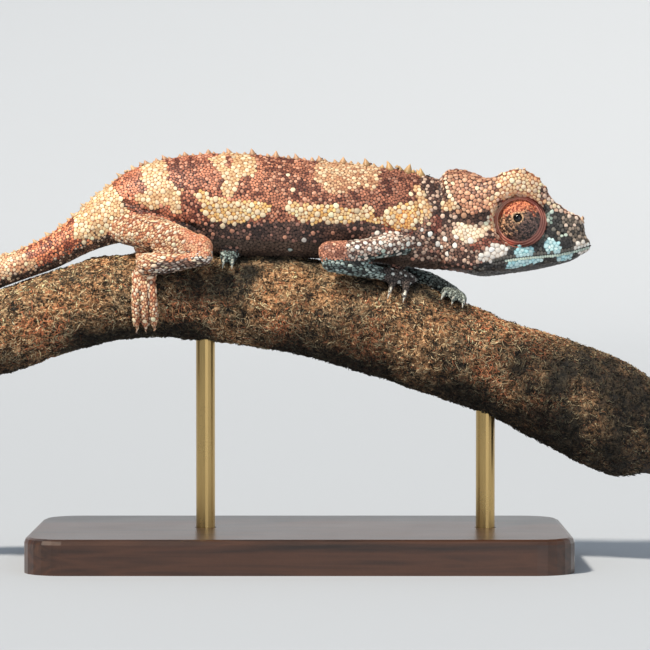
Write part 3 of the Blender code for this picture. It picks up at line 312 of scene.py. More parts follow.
# Creases of the skin on the sheet: (half width and depth in millimetres, line)
CREASES = (
    (0.42, 0.5, ((122, 201), (134, 206), (148, 211), (165, 215), (182, 222), (200, 231))),
    (0.28, 0.3, ((121, 206), (135, 212), (150, 217), (168, 221))),
    (0.28, 0.3, ((120, 212), (134, 218), (148, 223), (160, 230))),
    (0.28, 0.25, ((112, 216), (126, 222), (139, 230), (148, 240))),
    (0.24, 0.22, ((129, 196), (140, 203), (153, 207))),
    (0.35, 0.4, ((148, 250), (160, 251), (176, 252), (192, 252))),
    (0.24, 0.24, ((134, 262), (142, 270), (155, 276), (170, 277))),
    (0.24, 0.22, ((140, 256), (150, 263), (165, 267), (180, 265))),
    (0.24, 0.22, ((133, 268), (140, 277), (152, 282), (161, 282))),
    (0.3, 0.28, ((425, 186), (428, 198), (436, 208), (447, 214), (452, 222))),
    (0.26, 0.24, ((413, 186), (417, 200), (420, 214), (418, 226))),
    (0.26, 0.22, ((437, 184), (440, 196), (447, 204))),
    (0.26, 0.24, ((402, 238), (418, 241), (436, 247), (450, 258))),
    (0.24, 0.2, ((396, 228), (414, 232), (430, 239))),
    (0.28, 0.28, ((375, 216), (385, 224), (397, 232), (412, 235))),
    (0.2, 0.2, ((462, 257), (476, 265), (494, 270), (514, 271))),
    (0.2, 0.2, ((474, 258), (486, 265), (500, 267), (512, 266))),
    (0.2, 0.2, ((466, 266), (480, 272), (498, 275), (514, 274))),
    (0.24, 0.22, ((452, 240), (452, 252), (460, 266))),
    (0.32, 0.6, ((141.6, 290), (141.4, 304), (141.3, 327))),
    (0.32, 0.6, ((149.6, 290), (149.8, 304), (149.9, 327))),
)
CREASE_REACH = 1.5
# Rows of scales on the ridges of the head: (line on the sheet, pitch, radius in millimetres, kind)
HEAD_ROWS = (
    (((549, 199), (560, 204), (572, 210), (585, 215)), 4.4, 0.5, "snout_top"),
    (((497, 176), (506, 171), (518, 169), (530, 170), (540, 176), (547, 183)), 4.2, 0.48, "brow"),
    (((445, 174), (446, 184), (450, 196), (458, 207)), 4.4, 0.48, "brow"),
)


def on_sheet(x, z):
    """Where a place in millimetres lies on the side sheet, across and down."""
    return (x - SHEET_ORIGIN[0]) / SHEET_STEP, (SHEET_ORIGIN[1] - z) / SHEET_STEP


def off_sheet(across, down):
    """The (x, z) in millimetres of a place on the side sheet."""
    return SHEET_ORIGIN[0] + across * SHEET_STEP, SHEET_ORIGIN[1] - down * SHEET_STEP


def clouds(points, size, octaves=2, seed=0.0):
    """Soft noise at points, from about -1 to 1, with lumps of the given size in millimetres."""
    shifted = (points / size + seed).tolist()
    if octaves == 1:
        return np.array([noise.noise(p) for p in shifted])
    return np.array([noise.fractal(p, 1.0, 2.0, octaves) for p in shifted])


def inside(outline, across, down):
    """Which places are inside a closed outline."""
    held = np.zeros(len(across), bool)
    for (xa, ya), (xb, yb) in zip(outline, outline[1:] + outline[:1]):
        if ya == yb:
            continue
        crosses = (ya > down) != (yb > down)
        held ^= crosses & (across < (xb - xa) * (down - ya) / (yb - ya) + xa)
    return held


def are(parts, *names):
    """Which of the solids, given as their numbers among FLESH, have one of the names."""
    return np.isin(parts, [FLESH.index(name) for name in names])


def kinds_at(points, normals, parts):
    """The kind of scale at each point, as its number among KINDS."""
    number = KIND_NUMBERS
    across, down = on_sheet(points[:, 0], points[:, 2])
    wander = np.where(points[:, 1] > 0, FAR_WANDER, NEAR_WANDER)
    across = across + wander * clouds(points, 1.8, 1, 3.1) + FINE_WANDER * clouds(points, 0.45, 1, 6.1)
    down = down + wander * clouds(points, 1.8, 1, 7.7) + FINE_WANDER * clouds(points, 0.45, 1, 9.7)
    low = clouds(points, 5.0, 1, 1.3) * 3
    speckle = 0.35 * clouds(points, 0.9, 2, 12.0)
    up, outward = normals[:, 2], normals[:, 1] * np.sign(points[:, 1])

    kind = np.full(len(points), number["brown"])
    trunk = are(parts, *REGIONS["trunk"], *REGIONS["tail"])
    # partly painted shade: the lower flank
    kind[trunk & (down + low > 223) & (across > 178)] = number["flank"]
    kind[are(parts, "neck") & (down < 222)] = number["nape"]
    free = trunk.copy()
    for name, outline in TRUNK_MARKS:
        held = free & inside(outline, across, down)
        kind[held] = number[name]
        free &= ~held
    # partly painted shade: the underside of the trunk
    kind[trunk & (up < -0.6)] = number["belly"]
    tail = are(parts, *REGIONS["tail"])
    wound = tail & (points[:, 0] < -74)
    bands = np.sin(points[:, 0] * 1.05 + 2.2 * clouds(points, 9, 1, 5.0))
    kind[wound] = np.where(bands[wound] > 0.15, number["fine_cream"], number["brown"])
    # partly painted shade: the underside of the tail
    kind[tail & (up + speckle < -0.42) & ~wound] = number["under"]

    free = are(parts, *REGIONS["head"])
    kind[free] = number["nape"]
    # partly painted shade: the lower part of the head takes the dark flank kind
    kind[free & (down > 258)] = number["flank"]
    for name, outline in HEAD_MARKS:
        held = free & inside(outline, across, down)
        kind[held] = number[name]
        free &= ~held

    limb = are(parts, *LIMBS)
    kind[limb] = number["limb"]
    leg = are(parts, "thigh_right", "thigh_left", "shin_right", "shin_left")
    kind[leg & (across + 2 * low + 22 * speckle > 186)] = number["knee"]
    kind[are(parts, "shin_right") & (up + speckle < 0.05) & (across > 152)] = number["limb_white"]
    # partly painted shade: the undersides of the limbs and their faces turned to the body
    kind[limb & ((up + speckle < -0.78) | (outward < -0.35))] = number["under"]
    # partly painted shade: the forearms and far foot grey, the near hand dark
    kind[are(parts, "forearm_right", "forearm_left", "foot_left")] = number["limb_grey"]
    kind[are(parts, "hand_left")] = number["limb_pale"]
    kind[are(parts, "hand_right")] = number["limb_dark"]
    arm = are(parts, "upper_arm_right", "upper_arm_left")
    kind[arm] = np.where((across + 16 * speckle > 350 + 2 * low)[arm], number["arm"], number["elbow"])
    # partly painted shade: the underside of the upper arms
    kind[arm & (up + speckle < -0.55)] = number["limb_grey"]
    kind[are(parts, "foot_right") & (outward > -0.35)] = number["limb"]
    return kind


def column(place):
    """One value of every kind of scale."""
    return np.array([kind[place] for kind in KINDS.values()], float)


def kind_colours(place):
    """One of the four colours of every kind of scale."""
    return np.array([plain(kind[COLOURS].split()[place]) for kind in KINDS.values()])


def between_colours(points, kinds):
    """The colour of the bare skin between scales, with painted shade that darkens it in the creases."""
    # painted shade: the skin between scales darker in the creases
    dark = kind_colours(BETWEEN)[kinds] * (1 - 0.75 * crease_at(points))[:, None]
    return dark * (1 + 0.25 * clouds(points, 1.5, 2, 4.0))[:, None]


def scale_colours(points, kinds, large, grain):
    """The colour of each scale, varied from one to the next, in soft clouds and in streaks along the limbs,
    with painted light along the sheet and painted shade in the creases.
    """
    along = (points * grain).sum(axis=1)[:, None] * grain
    length = np.maximum((grain**2).sum(axis=1), 1e-6)[:, None]
    streaked = length[:, 0] > 0.01
    share = 0.5 + 0.8 * clouds(points, 6.0, 3, 2.0) + 0.8 * clouds(points, 1.6, 2, 17.0)
    share += 0.34 * RNG.standard_normal(len(points))
    streaks = clouds(points - 0.8 * along / length, 0.9, 2, 21.0)
    share = np.where(streaked, 0.5 + 1.7 * streaks + 0.25 * RNG.standard_normal(len(points)), share)
    share = np.clip(share, 0, 1)[:, None]
    colour = kind_colours(FIRST)[kinds] * share + kind_colours(SECOND)[kinds] * (1 - share)
    colour = np.where(large[:, None], kind_colours(OF_LARGE)[kinds] * 0.8 + colour * 0.2, colour)
    across, _ = on_sheet(points[:, 0], points[:, 2])
    brown = np.isin(kinds, [KIND_NUMBERS[name] for name in ("brown", "rose")])
    cream = np.isin(kinds, [KIND_NUMBERS[name] for name in ("cream", "fine_cream")])
    # painted light: brown and cream paler towards the tail and hip, darker towards the head
    painted_light = np.stack([np.interp(across, PAINTED_LIGHT_PLACES, w) for w in PAINTED_LIGHT_BROWN], axis=1)
    colour = colour * np.where(brown[:, None], painted_light, 1.0)
    colour = colour * np.where(cream, np.interp(across, PAINTED_LIGHT_PLACES, PAINTED_LIGHT_CREAM), 1.0)[:, None]
    # painted shade: scales darker in the creases of the skin
    colour = colour * (1 - 0.5 * crease_at(points))[:, None]
    return np.clip(colour * (1 + 0.12 * RNG.standard_normal(len(points)))[:, None], 0, 1)


def crease_at(points, deep=False):
    """How much of a crease is at each point, from 0 to 1, or how deep it is."""
    found = np.zeros(len(points))
    for wide, depth, line in CREASES:
        line = [off_sheet(*p) for p in line]
        low, high = np.min(line, axis=0) - CREASE_REACH, np.max(line, axis=0) + CREASE_REACH
        near = ((points[:, [0, 2]] > low) & (points[:, [0, 2]] < high)).all(axis=1)
        far = distance_to_line(points[near], line)
        size = np.exp(-((far / wide) ** 2)) * (depth if deep else min(1.0, depth * 2.4))
        found[near] = np.maximum(found[near], size)
    return found


# Meshes


def object_from(name, mesh, look):
    return dress(link(name, mesh), look)


def link(name, data):
    """A new object in the scene that shows the data."""
    made = bpy.data.objects.new(name, data)
    bpy.context.scene.collection.objects.link(made)
    return made


def dress(made, look):
    """Makes an object a piece of the visual model, with its finish."""
    made.data.materials.append(look)
    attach(made, "root")
    return made


def mesh_from_arrays(name, points, faces, colours, spots, smooth=True, rims=None):
    """A mesh from points in millimetres and arrays of faces, each with its own count of corners.

    colours go with the points, as the attribute "marking". spots are their places on the map OFBake. An edge
    is sharp where both its points are among the rims.
    """
    mesh = bpy.data.meshes.new(name)
    mesh.vertices.add(len(points))
    set_points(mesh, points)
    corners = np.concatenate([f.ravel() for f in faces]).astype(np.int32)
    counts = np.concatenate([np.full(len(f), f.shape[1]) for f in faces])
    mesh.loops.add(len(corners))
    mesh.loops.foreach_set("vertex_index", corners)
    mesh.polygons.add(len(counts))
    mesh.polygons.foreach_set("loop_start", np.concatenate([[0], np.cumsum(counts)[:-1]]).astype(np.int32))
    mesh.update(calc_edges=True)
    if smooth:
        mesh.shade_smooth()
    if rims is not None:
        ends = np.empty(len(mesh.edges) * 2, np.int32)
        mesh.edges.foreach_get("vertices", ends)
        sharp = mesh.attributes.new("sharp_edge", "BOOLEAN", "EDGE")
        sharp.data.foreach_set("value", rims[ends.reshape(-1, 2)].all(axis=1))
    store_colours(mesh, colours)
    layer = mesh.uv_layers.new(name="OFBake")
    layer.uv.foreach_set("vector", spots[corners].astype(np.float32).ravel())
    return mesh


def mesh_from_bmesh(name, bm):
    """A mesh from a bmesh, which is freed."""
    mesh = bpy.data.meshes.new(name)
    bm.to_mesh(mesh)
    bm.free()
    return mesh


def store_colours(mesh, colours):
    layer = mesh.color_attributes.new(name="marking", type="FLOAT_COLOR", domain="POINT")
    full = np.concatenate([colours, np.ones((len(colours), 1))], axis=1)
    layer.data.foreach_set("color", full.astype(np.float32).ravel())


def set_points(mesh, points):
    mesh.vertices.foreach_set("co", (points * MM).astype(np.float32).ravel())


def vectors_of(items, key):
    found = np.empty(len(items) * 3, np.float32)
    items.foreach_get(key, found)
    return found.reshape(-1, 3).astype(float)


def points_of(mesh):
    return vectors_of(mesh.vertices, "co") / MM


def normals_of(mesh):
    return vectors_of(mesh.vertex_normals, "vector")


def quads_of(mesh):
    found = np.empty(len(mesh.loops), np.int32)
    mesh.loops.foreach_get("vertex_index", found)
    return found.reshape(-1, 4)


def unit(vectors):
    return vectors / np.maximum(np.linalg.norm(vectors, axis=-1, keepdims=True), 1e-9)


def apply_modifiers(thing):
    bpy.context.view_layer.update()
    graph = bpy.context.evaluated_depsgraph_get()
    old = thing.data
    thing.data = bpy.data.meshes.new_from_object(thing.evaluated_get(graph))
    thing.modifiers.clear()
    bpy.data.meshes.remove(old)


# Finishes


def node(tree, kind, settings=None, **sockets):
    """A shader node. Each socket is given a value, or another node's output that feeds it."""
    made = tree.nodes.new(kind)
    for key, value in (settings or {}).items():
        setattr(made, key, value)
    for key, value in sockets.items():
        feed(tree, made.inputs[int(key[1:])] if key[0] == "_" else made.inputs[key.replace("_", " ")], value)
    return made


def feed(tree, socket, value):
    """Gives a socket a value, or links it to another node's output."""
    if isinstance(value, bpy.types.NodeSocket):
        tree.links.new(value, socket)
    else:
        socket.default_value = value


def maths(tree, operation, *values):
    """The output of a sum done on values or on other nodes' outputs."""
    sockets = {f"_{place}": value for place, value in enumerate(values)}
    return node(tree, "ShaderNodeMath", {"operation": operation}, **sockets).outputs[0]


def attribute(tree, name, output="Fac"):
    return node(tree, "ShaderNodeAttribute", {"attribute_name": name}).outputs[output]


def tone(tree, factor, stops):
    """A colour ramp over factor, from pairs of a place and a colour, which is a code or the light itself."""
    made = tree.nodes.new("ShaderNodeValToRGB")
    while len(made.color_ramp.elements) < len(stops):
        made.color_ramp.elements.new(0.5)
    for element, (place, colour) in zip(made.color_ramp.elements, stops):
        element.position = place
        element.color = (*(plain(colour) if isinstance(colour, str) else colour), 1)
    tree.links.new(factor, made.inputs[0])
    return made.outputs[0]


def blend(tree, factor, first, second, how="MIX"):
    settings = {"data_type": "RGBA", "blend_type": how}
    return node(tree, "ShaderNodeMix", settings, _0=factor, _6=first, _7=second).outputs[2]


def make_mottle():
    """A node group of small patches of lighter and darker, with a fine grain to go with them."""
    group = bpy.data.node_groups.new("mottle", "ShaderNodeTree")
    for name, kind, value in (
        ("Colour", "NodeSocketColor", (1, 1, 1, 1)), ("Patch", "NodeSocketFloat", 900.0),
        ("Grain", "NodeSocketFloat", 5000.0), ("Strength", "NodeSocketFloat", 0.3),
        ("Rough", "NodeSocketFloat", 0.5), ("Rough range", "NodeSocketFloat", 0.2),
    ):  # fmt: skip
        group.interface.new_socket(name, in_out="INPUT", socket_type=kind).default_value = value
    group.interface.new_socket("Colour", in_out="OUTPUT", socket_type="NodeSocketColor")
    for name in ("Roughness", "Height"):
        group.interface.new_socket(name, in_out="OUTPUT", socket_type="NodeSocketFloat")
    given, out = group.nodes.new("NodeGroupInput"), group.nodes.new("NodeGroupOutput")
    where = node(group, "ShaderNodeTexCoord").outputs["Object"]
    patch = node(group, "ShaderNodeTexNoise", Vector=where, Scale=given.outputs["Patch"], Detail=3.0)
    grain = node(group, "ShaderNodeTexNoise", Vector=where, Scale=given.outputs["Grain"], Detail=2.0)
    both = maths(group, "ADD", patch.outputs["Fac"], grain.outputs["Fac"])
    level = maths(group, "SUBTRACT", both, 1.0)
    gain = maths(group, "ADD", maths(group, "MULTIPLY", level, given.outputs["Strength"]), 1.0)
    shade = node(group, "ShaderNodeCombineColor", _0=gain, _1=gain, _2=gain)
    shaded = blend(group, 1.0, given.outputs["Colour"], shade.outputs[0], "MULTIPLY")
    group.links.new(shaded, out.inputs["Colour"])
    sway = maths(group, "MULTIPLY", level, given.outputs["Rough range"])
    group.links.new(maths(group, "ADD", sway, given.outputs["Rough"]), out.inputs["Roughness"])
    group.links.new(both, out.inputs["Height"])
    return group


def finish(name, mottle, colour=None, patch=900.0, grain=5000.0, strength=0.3, rough=0.5, rough_range=0.2,
           bump=0.3, depth=0.00003, **sockets):  # fmt: skip
    """A mottled finish, coloured by the piece's marking attribute unless a colour is given."""
    made = bpy.data.materials.new(name)
    made.use_nodes = True
    tree = made.node_tree
    shader = tree.nodes["Principled BSDF"]
    if colour is None:
        colour = node(tree, "ShaderNodeAttribute", {"attribute_name": "marking"}).outputs["Color"]
    elif not isinstance(colour, tuple):
        colour = colour(tree)
    grains = node(tree, "ShaderNodeGroup", {"node_tree": mottle}, Patch=patch, Grain=grain, Strength=strength,
                  Rough=rough, Rough_range=rough_range, Colour=colour)  # fmt: skip
    tree.links.new(grains.outputs["Colour"], shader.inputs["Base Color"])
    tree.links.new(grains.outputs["Roughness"], shader.inputs["Roughness"])
    relief = node(tree, "ShaderNodeBump", Strength=bump, Distance=depth, Height=grains.outputs["Height"])
    tree.links.new(relief.outputs[0], shader.inputs["Normal"])
    for key, value in sockets.items():
        shader.inputs[key.replace("_", " ")].default_value = value
    return made


def wood_colours(tree):
    """Dark stained wood with its grain along X."""
    where = node(tree, "ShaderNodeTexCoord").outputs["Object"]
    long = node(tree, "ShaderNodeMapping", Vector=where, Scale=(6.0, 90.0, 90.0)).outputs[0]
    rings = node(tree, "ShaderNodeTexNoise", Vector=long, Scale=3.0, Detail=6.0, Distortion=0.6).outputs["Fac"]
    return tone(tree, rings, ((0.3, "261812"), (0.48, "4a2e20"), (0.62, "301e16"), (0.75, "5c3c28")))


def bark_colours(tree):
    """Bark that is near black in its pits, partly as painted shade, and tan or rusty on its grains; it is
    paler in random clouds, and darkened and cooled by painted shadows and painted shade.
    """
    where = node(tree, "ShaderNodeTexCoord").outputs["Object"]
    high, dry_and_shade = attribute(tree, "bark_height"), attribute(tree, "bark_dry_and_shade")
    fine = node(tree, "ShaderNodeTexNoise", Vector=where, Scale=2500.0, Detail=5.0, Roughness=0.75)
    broad = node(tree, "ShaderNodeTexNoise", Vector=where, Scale=160.0, Detail=3.0).outputs["Fac"]
    half = maths(tree, "MULTIPLY_ADD", high, 0.3, maths(tree, "MULTIPLY", fine.outputs["Fac"], 0.7))
    dark = tone(tree, half, ((0.38, "1a1612"), (0.46, "5a4934"), (0.54, "a68460"), (0.62, "e8c094")))
    warm = tone(tree, half, ((0.38, "20160f"), (0.46, "805a3a"), (0.54, "d09a6a"), (0.62, "face9c")))
    grain = blend(tree, tone(tree, broad, ((0.42, (0, 0, 0)), (0.58, (1, 1, 1)))), dark, warm)
    # painted shadows and shade: the bark darkens towards a grey-blue black where they fall
    return blend(tree, 1.0, grain, tone(tree, dry_and_shade, ((0.0, (0.07, 0.085, 0.09)), (1.0, (1, 1, 1)))), "MULTIPLY")


def end_grain_colours(tree):
    """Growth rings of the cut ends of the branch."""
    wave = maths(tree, "SINE", maths(tree, "MULTIPLY", attribute(tree, "ring_place"), 60.0))
    return tone(tree, maths(tree, "MULTIPLY_ADD", wave, 0.5, 0.5), ((0.2, "96704e"), (0.8, "c4a076")))


def make_finishes():
    """Every finish of the pieces, by name."""
    mottle = make_mottle()
    return {
        "scales": finish("scales", mottle, strength=0.35, rough=0.46, rough_range=0.25, bump=0.35),
        "bare_skin": finish("bare_skin", mottle, strength=0.4, rough=0.68, bump=0.5, depth=0.00006),
        "crest": finish("crest_horn", mottle, strength=0.3, rough=0.42, bump=0.3),
        "lid": finish("eyelid", mottle, patch=1400.0, strength=0.4, rough=0.44, bump=0.4, depth=0.00004),
        "iris": finish("eye_gloss", mottle, strength=0.2, rough=0.06, rough_range=0.02, bump=0.02,
                       Specular_IOR_Level=0.25, Coat_Weight=0.5, Coat_Roughness=0.02),
        "claw": finish("claw_horn", mottle, strength=0.3, rough=0.34, bump=0.2),
        "bark": finish("bark", mottle, bark_colours, patch=700.0, grain=3800.0, strength=0.5, rough=0.86,
                       rough_range=0.2, bump=0.6, depth=0.0001),
        "bark_bits": finish("bark_bits", mottle, strength=0.5, rough=0.85, bump=0.4, depth=0.00005),
        "end_grain": finish("end_grain", mottle, end_grain_colours, patch=500.0, strength=0.5, rough=0.8,
                            bump=0.3),
        "wood": finish("stained_wood", mottle, wood_colours, patch=60.0, grain=2500.0, strength=0.25,
                       rough=0.34, rough_range=0.1, bump=0.12, depth=0.00004, Coat_Weight=0.25,
                       Coat_Roughness=0.2),
        "brass": finish("satin_brass", mottle, (*plain("c4a66e"), 1), patch=150.0, grain=4000.0, strength=0.12,
                        rough=0.3, rough_range=0.12, bump=0.06, depth=0.00002, Metallic=1.0),
    }  # fmt: skip


# Skin


def joined_flesh():
    """The flesh solids as one watertight surface, with the thin cuts between them closed."""
    whole = bmesh.new()
    for name in FLESH:
        piece = bmesh.new()
        piece.from_mesh(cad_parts[name].data)
        bmesh.ops.remove_doubles(piece, verts=piece.verts, dist=1e-6)
        bmesh.ops.recalc_face_normals(piece, faces=piece.faces)
        piece.normal_update()
        for vert, normal in [(v, v.normal.copy()) for v in piece.verts]:
            vert.co += normal * SWELL * MM
        mesh = mesh_from_bmesh("flesh_piece", piece)
        whole.from_mesh(mesh)
        bpy.data.meshes.remove(mesh)
    skin = link("skin", mesh_from_bmesh("skin", whole))
    remesh = skin.modifiers.new("join", "REMESH")
    remesh.mode = "VOXEL"
    remesh.voxel_size = VOXEL * MM
    soften = skin.modifiers.new("soften", "SMOOTH")
    soften.factor, soften.iterations = 0.5, SKIN_SMOOTHING
    apply_modifiers(skin)
    level_back(skin)
    return skin


def level_back(skin):
    """Drops loose scraps of the skin and levels the roots of the spines, which are made again as the crest."""
    bm = bmesh.new()
    bm.from_mesh(skin.data)
    left = set(bm.verts)
    body = []
    while left:
        front = [left.pop()]
        found = list(front)
        while front:
            for edge in front.pop().link_edges:
                for vert in edge.verts:
                    if vert in left:
                        left.remove(vert)
                        front.append(vert)
                        found.append(vert)
        if len(found) > len(body):
            body = found
    body = set(body)
    bmesh.ops.delete(bm, geom=[v for v in bm.verts if v not in body], context="VERTS")
    bm.normal_update()
    ridge = [v for v in bm.verts if abs(v.co.y) < RIDGE_WIDTH * MM and v.normal.z > RIDGE_TILT
             and WIND_START * MM < v.co.x < RIDGE_AHEAD * MM and v.co.z > RIDGE_LOW * MM]  # fmt: skip
    for _ in range(RIDGE_SMOOTHING):
        bmesh.ops.smooth_vert(bm, verts=ridge, factor=0.5, use_axis_x=True, use_axis_y=True, use_axis_z=True)
    for vert in ridge:
        vert.co.z += RIDGE_LIFT * MM * max(0.0, 1 - (vert.co.y / MM / RIDGE_WIDTH) ** 2)
    bm.to_mesh(skin.data)
    bm.free()


def part_finder():
    """A function that says which flesh solid is nearest to each point."""
    corners, faces, owner = [], [], []
    for number, name in enumerate(FLESH):
        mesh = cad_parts[name].data
        start = len(corners)
        corners += [tuple(v.co / MM) for v in mesh.vertices]
        faces += [tuple(start + k for k in p.vertices) for p in mesh.polygons]
        owner += [number] * len(mesh.polygons)
    tree = BVHTree.FromPolygons(corners, faces)
    return lambda points: np.array([owner[tree.find_nearest(p)[2]] for p in points.tolist()])


def mouth_line():
    """The line between the lips in the side view, as (x, z)."""
    return [(HEAD_PLACE.x + x, HEAD_PLACE.z + z) for x, z in MOUTH_CUT]


def distance_to_line(points, line):
    """How far points are from a line of (x, z) in the side view."""
    nearest = np.full(len(points), np.inf)
    flat = points[:, [0, 2]]
    for a, b in zip(line, line[1:]):
        start, way = np.array(a), np.subtract(b, a)
        t = np.clip(((flat - start) @ way) / (way @ way), 0, 1)
        nearest = np.minimum(nearest, np.linalg.norm(flat - start - t[:, None] * way, axis=1))
    return nearest


def eye_frame(side):
    """(base, axis) of the eye on one side."""
    base = HEAD_PLACE + Vector((EYE_PLACE.x, EYE_PLACE.y * side, EYE_PLACE.z))
    return base, Vector((EYE_AXIS.x, EYE_AXIS.y * side, EYE_AXIS.z)).normalized()


def from_eye_axis(points, side):
    """How far points are from the axis of the eye on one side, and how high along it."""
    base, axis = (np.array(v) for v in eye_frame(side))
    away = points - base
    height = away @ axis
    return np.linalg.norm(away - height[:, None] * axis, axis=1), height


def near_eye(points, side, radius):
    """Which points stand within radius of the eye's axis on that side of the head."""
    far, height = from_eye_axis(points, side)
    return (far < radius) & (height > -1.5)


def from_nostril(points, side, stretch):
    """How far points are from the nostril's opening, with the distances along X, Y and Z stretched."""
    place = HEAD_PLACE + NOSTRIL_PLACE + NOSTRIL_SHIFT
    return np.linalg.norm((points - np.array((place.x, place.y * side, place.z))) * stretch, axis=1)


def shape_skin(skin, find_parts):
    """Sinks the skin under the coat, with the mouth, nostrils, eye sockets, creases and folds of the neck."""
    points, normals = points_of(skin.data), normals_of(skin.data)
    parts = find_parts(points)
    depth = np.where(are(parts, *FEET), SWELL * 0.6, SWELL + COAT_DEPTH)
    head = are(parts, *REGIONS["head"])
    lips = MOUTH_DEPTH * np.exp(-((distance_to_line(points, mouth_line()) / MOUTH_WIDTH) ** 2))
    depth += np.where(head & (np.abs(points[:, 1]) > 0.4), lips, 0)
    for side in (RIGHT, LEFT):
        depth += NOSTRIL_DEPTH * np.exp(-((from_nostril(points, side, (1, 0.6, 1.5)) / NOSTRIL_RADIUS) ** 4))
    depth += crease_at(points, deep=True)
    throat = are(parts, "neck") | (head & (points[:, 0] < HEAD_PLACE.x + 5))
    folds = np.sin(points[:, 0] * 3.6 + 1.5 * clouds(points, 6, 1, 8.0) + points[:, 2] * 0.35)
    depth += np.where(throat, 0.08 * folds, 0)
    points -= normals * depth[:, None]
    for side in (RIGHT, LEFT):
        far, rise = from_eye_axis(points, side)
        proud = (far < EYE_SOCKET + 0.1) & head & (rise > SOCKET_FLOOR)
        points -= np.where(proud, rise - SOCKET_FLOOR, 0)[:, None] * np.array(eye_frame(side)[1])
    set_points(skin.data, points)
    skin.data.update()
    return parts


def unwrap(skin):
    """Gives the skin the map OFBake, cut into patches that follow its own shape."""
    skin.data.uv_layers.new(name="OFBake")
    bpy.context.view_layer.objects.active = skin
    bpy.ops.object.select_all(action="DESELECT")
    skin.select_set(True)
    bpy.ops.object.mode_set(mode="EDIT")
    bpy.ops.mesh.select_all(action="SELECT")
    bpy.ops.uv.smart_project(angle_limit=math.radians(66), island_margin=0.002)
    bpy.ops.object.mode_set(mode="OBJECT")


class Surface:
    """The finished skin: finds the nearest place on it, with its smooth normal and its place on the map."""

    def __init__(self, skin, parts):
        mesh = skin.data
        self.points, self.normals = points_of(mesh), normals_of(mesh)
        self.quads, self.parts = quads_of(mesh), parts
        spots = np.empty(len(mesh.loops) * 2, np.float32)
        mesh.uv_layers["OFBake"].uv.foreach_get("vector", spots)
        self.spots = spots.reshape(-1, 4, 2)
        self.tree = BVHTree.FromPolygons(self.points.tolist(), self.quads.tolist())

    def _share(self, places, faces):
        corners = self.points[self.quads[faces]]
        weight = 1 / (np.linalg.norm(corners - places[:, None], axis=2) + 0.02)
        return (weight / weight.sum(axis=1, keepdims=True))[:, :, None]

    def settle(self, places):
        """The nearest places on the skin, and the faces that hold them."""
        found = [self.tree.find_nearest(p) for p in places.tolist()]
        return np.array([tuple(f[0]) for f in found]), np.array([f[2] for f in found])

    def normals_at(self, places, faces):
        return unit((self.normals[self.quads[faces]] * self._share(places, faces)).sum(axis=1))

    def spots_at(self, places, faces):
        return (self.spots[faces] * self._share(places, faces)).sum(axis=1)

    def parts_at(self, faces):
        return self.parts[self.quads[faces, 0]]

    def from_side(self, across, down, side):
        """The place that the side sheet shows there, or None."""
        x, z = off_sheet(across, down)
        hit = self.tree.ray_cast(Vector((x, side * 60, z)), Vector((0, -side, 0)))
        return None if hit[0] is None else tuple(hit[0])


# Scales


TRIED_PLACES = 22  # to a square millimetre, which the scales are picked from
CLOSENESS = 0.86  # of small scales, as a share of the sum of two radii
LIMBS_APART = 500.0  # keeps limbs from touching where long scales are drawn round
BROAD_RADIUS = 0.44  # above it a scale is a large round one, of more sides
SMALL_SIDES, BROAD_SIDES = 7, 10
MOST_SCALES = 7600  # in one piece
# The way that scales grow on the thighs, across the folds of the skin
THIGH_GRAIN = (0.77, 0.0, 0.64)


def random_places(surface, per_square_mm):
    """Even random places over the skin."""
    tris = np.concatenate([surface.quads[:, [0, 1, 2]], surface.quads[:, [0, 2, 3]]])
    owner = np.tile(np.arange(len(surface.quads)), 2)
    a, b, c = (surface.points[tris[:, k]] for k in range(3))
    areas = np.linalg.norm(np.cross(b - a, c - a), axis=1) / 2
    count = int(areas.sum() * per_square_mm)
    chosen = np.searchsorted(np.cumsum(areas) / areas.sum(), RNG.random(count))
    chosen = np.minimum(chosen, len(tris) - 1)
    u, v = RNG.random(count), RNG.random(count)
    over = u + v > 1
    u[over], v[over] = 1 - u[over], 1 - v[over]
    places = a[chosen] + u[:, None] * (b - a)[chosen] + v[:, None] * (c - a)[chosen]
    return places, owner[chosen]


def tree_of(places):
    tree = KDTree(len(places))
    for k, place in enumerate(places.tolist()):
        tree.insert(place, k)
    tree.balance()
    return tree


def thin_out(places, radii, closeness):
    """Which places stay, so that no two scales stand closer than closeness times the sum of their radii."""
    tree = tree_of(places)
    alive = bytearray(b"\x01") * len(places)
    sizes = radii.tolist()
    widest = max(sizes)
    kept = []
    for k, (place, size) in enumerate(zip(places.tolist(), sizes)):
        if not alive[k]:
            continue
        kept.append(k)
        for _, other, far in tree.find_range(place, closeness * (size + widest)):
            if far < closeness * (size + sizes[other]):
                alive[other] = 0
    return np.array(kept, int)


def clear_of(places, radii, closeness, fixed, fixed_radii):
    """Which places stand clear of scales that have their place already."""
    tree = tree_of(places)
    free = np.ones(len(places), bool)
    widest = radii.max()
    for place, size in zip(fixed.tolist(), fixed_radii.tolist()):
        for _, k, far in tree.find_range(place, closeness * (size + widest)):
            free[k] &= far >= closeness * (size + radii[k])
    return free


def grain_at(surface, parts, kinds):
    """The way along the limb at each place, as long as the share by which scales there are narrowed."""
    grain = np.zeros((len(parts), 3))
    for name in LIMBS:
        mine = surface.points[are(surface.parts, name)]
        way = np.linalg.eigh(np.cov(mine.T))[1][:, 2]
        grain[are(parts, name)] = THIGH_GRAIN if name.startswith("thigh") else way
    return grain * column(LONGER)[kinds][:, None]


def squeeze(vectors, grain):
    """Vectors drawn shorter along the grain, so that long scales become round."""
    length = np.linalg.norm(grain, axis=-1, keepdims=True)
    along = (vectors * grain).sum(axis=-1, keepdims=True)
    return vectors - along * grain / np.maximum(length, 1e-6)


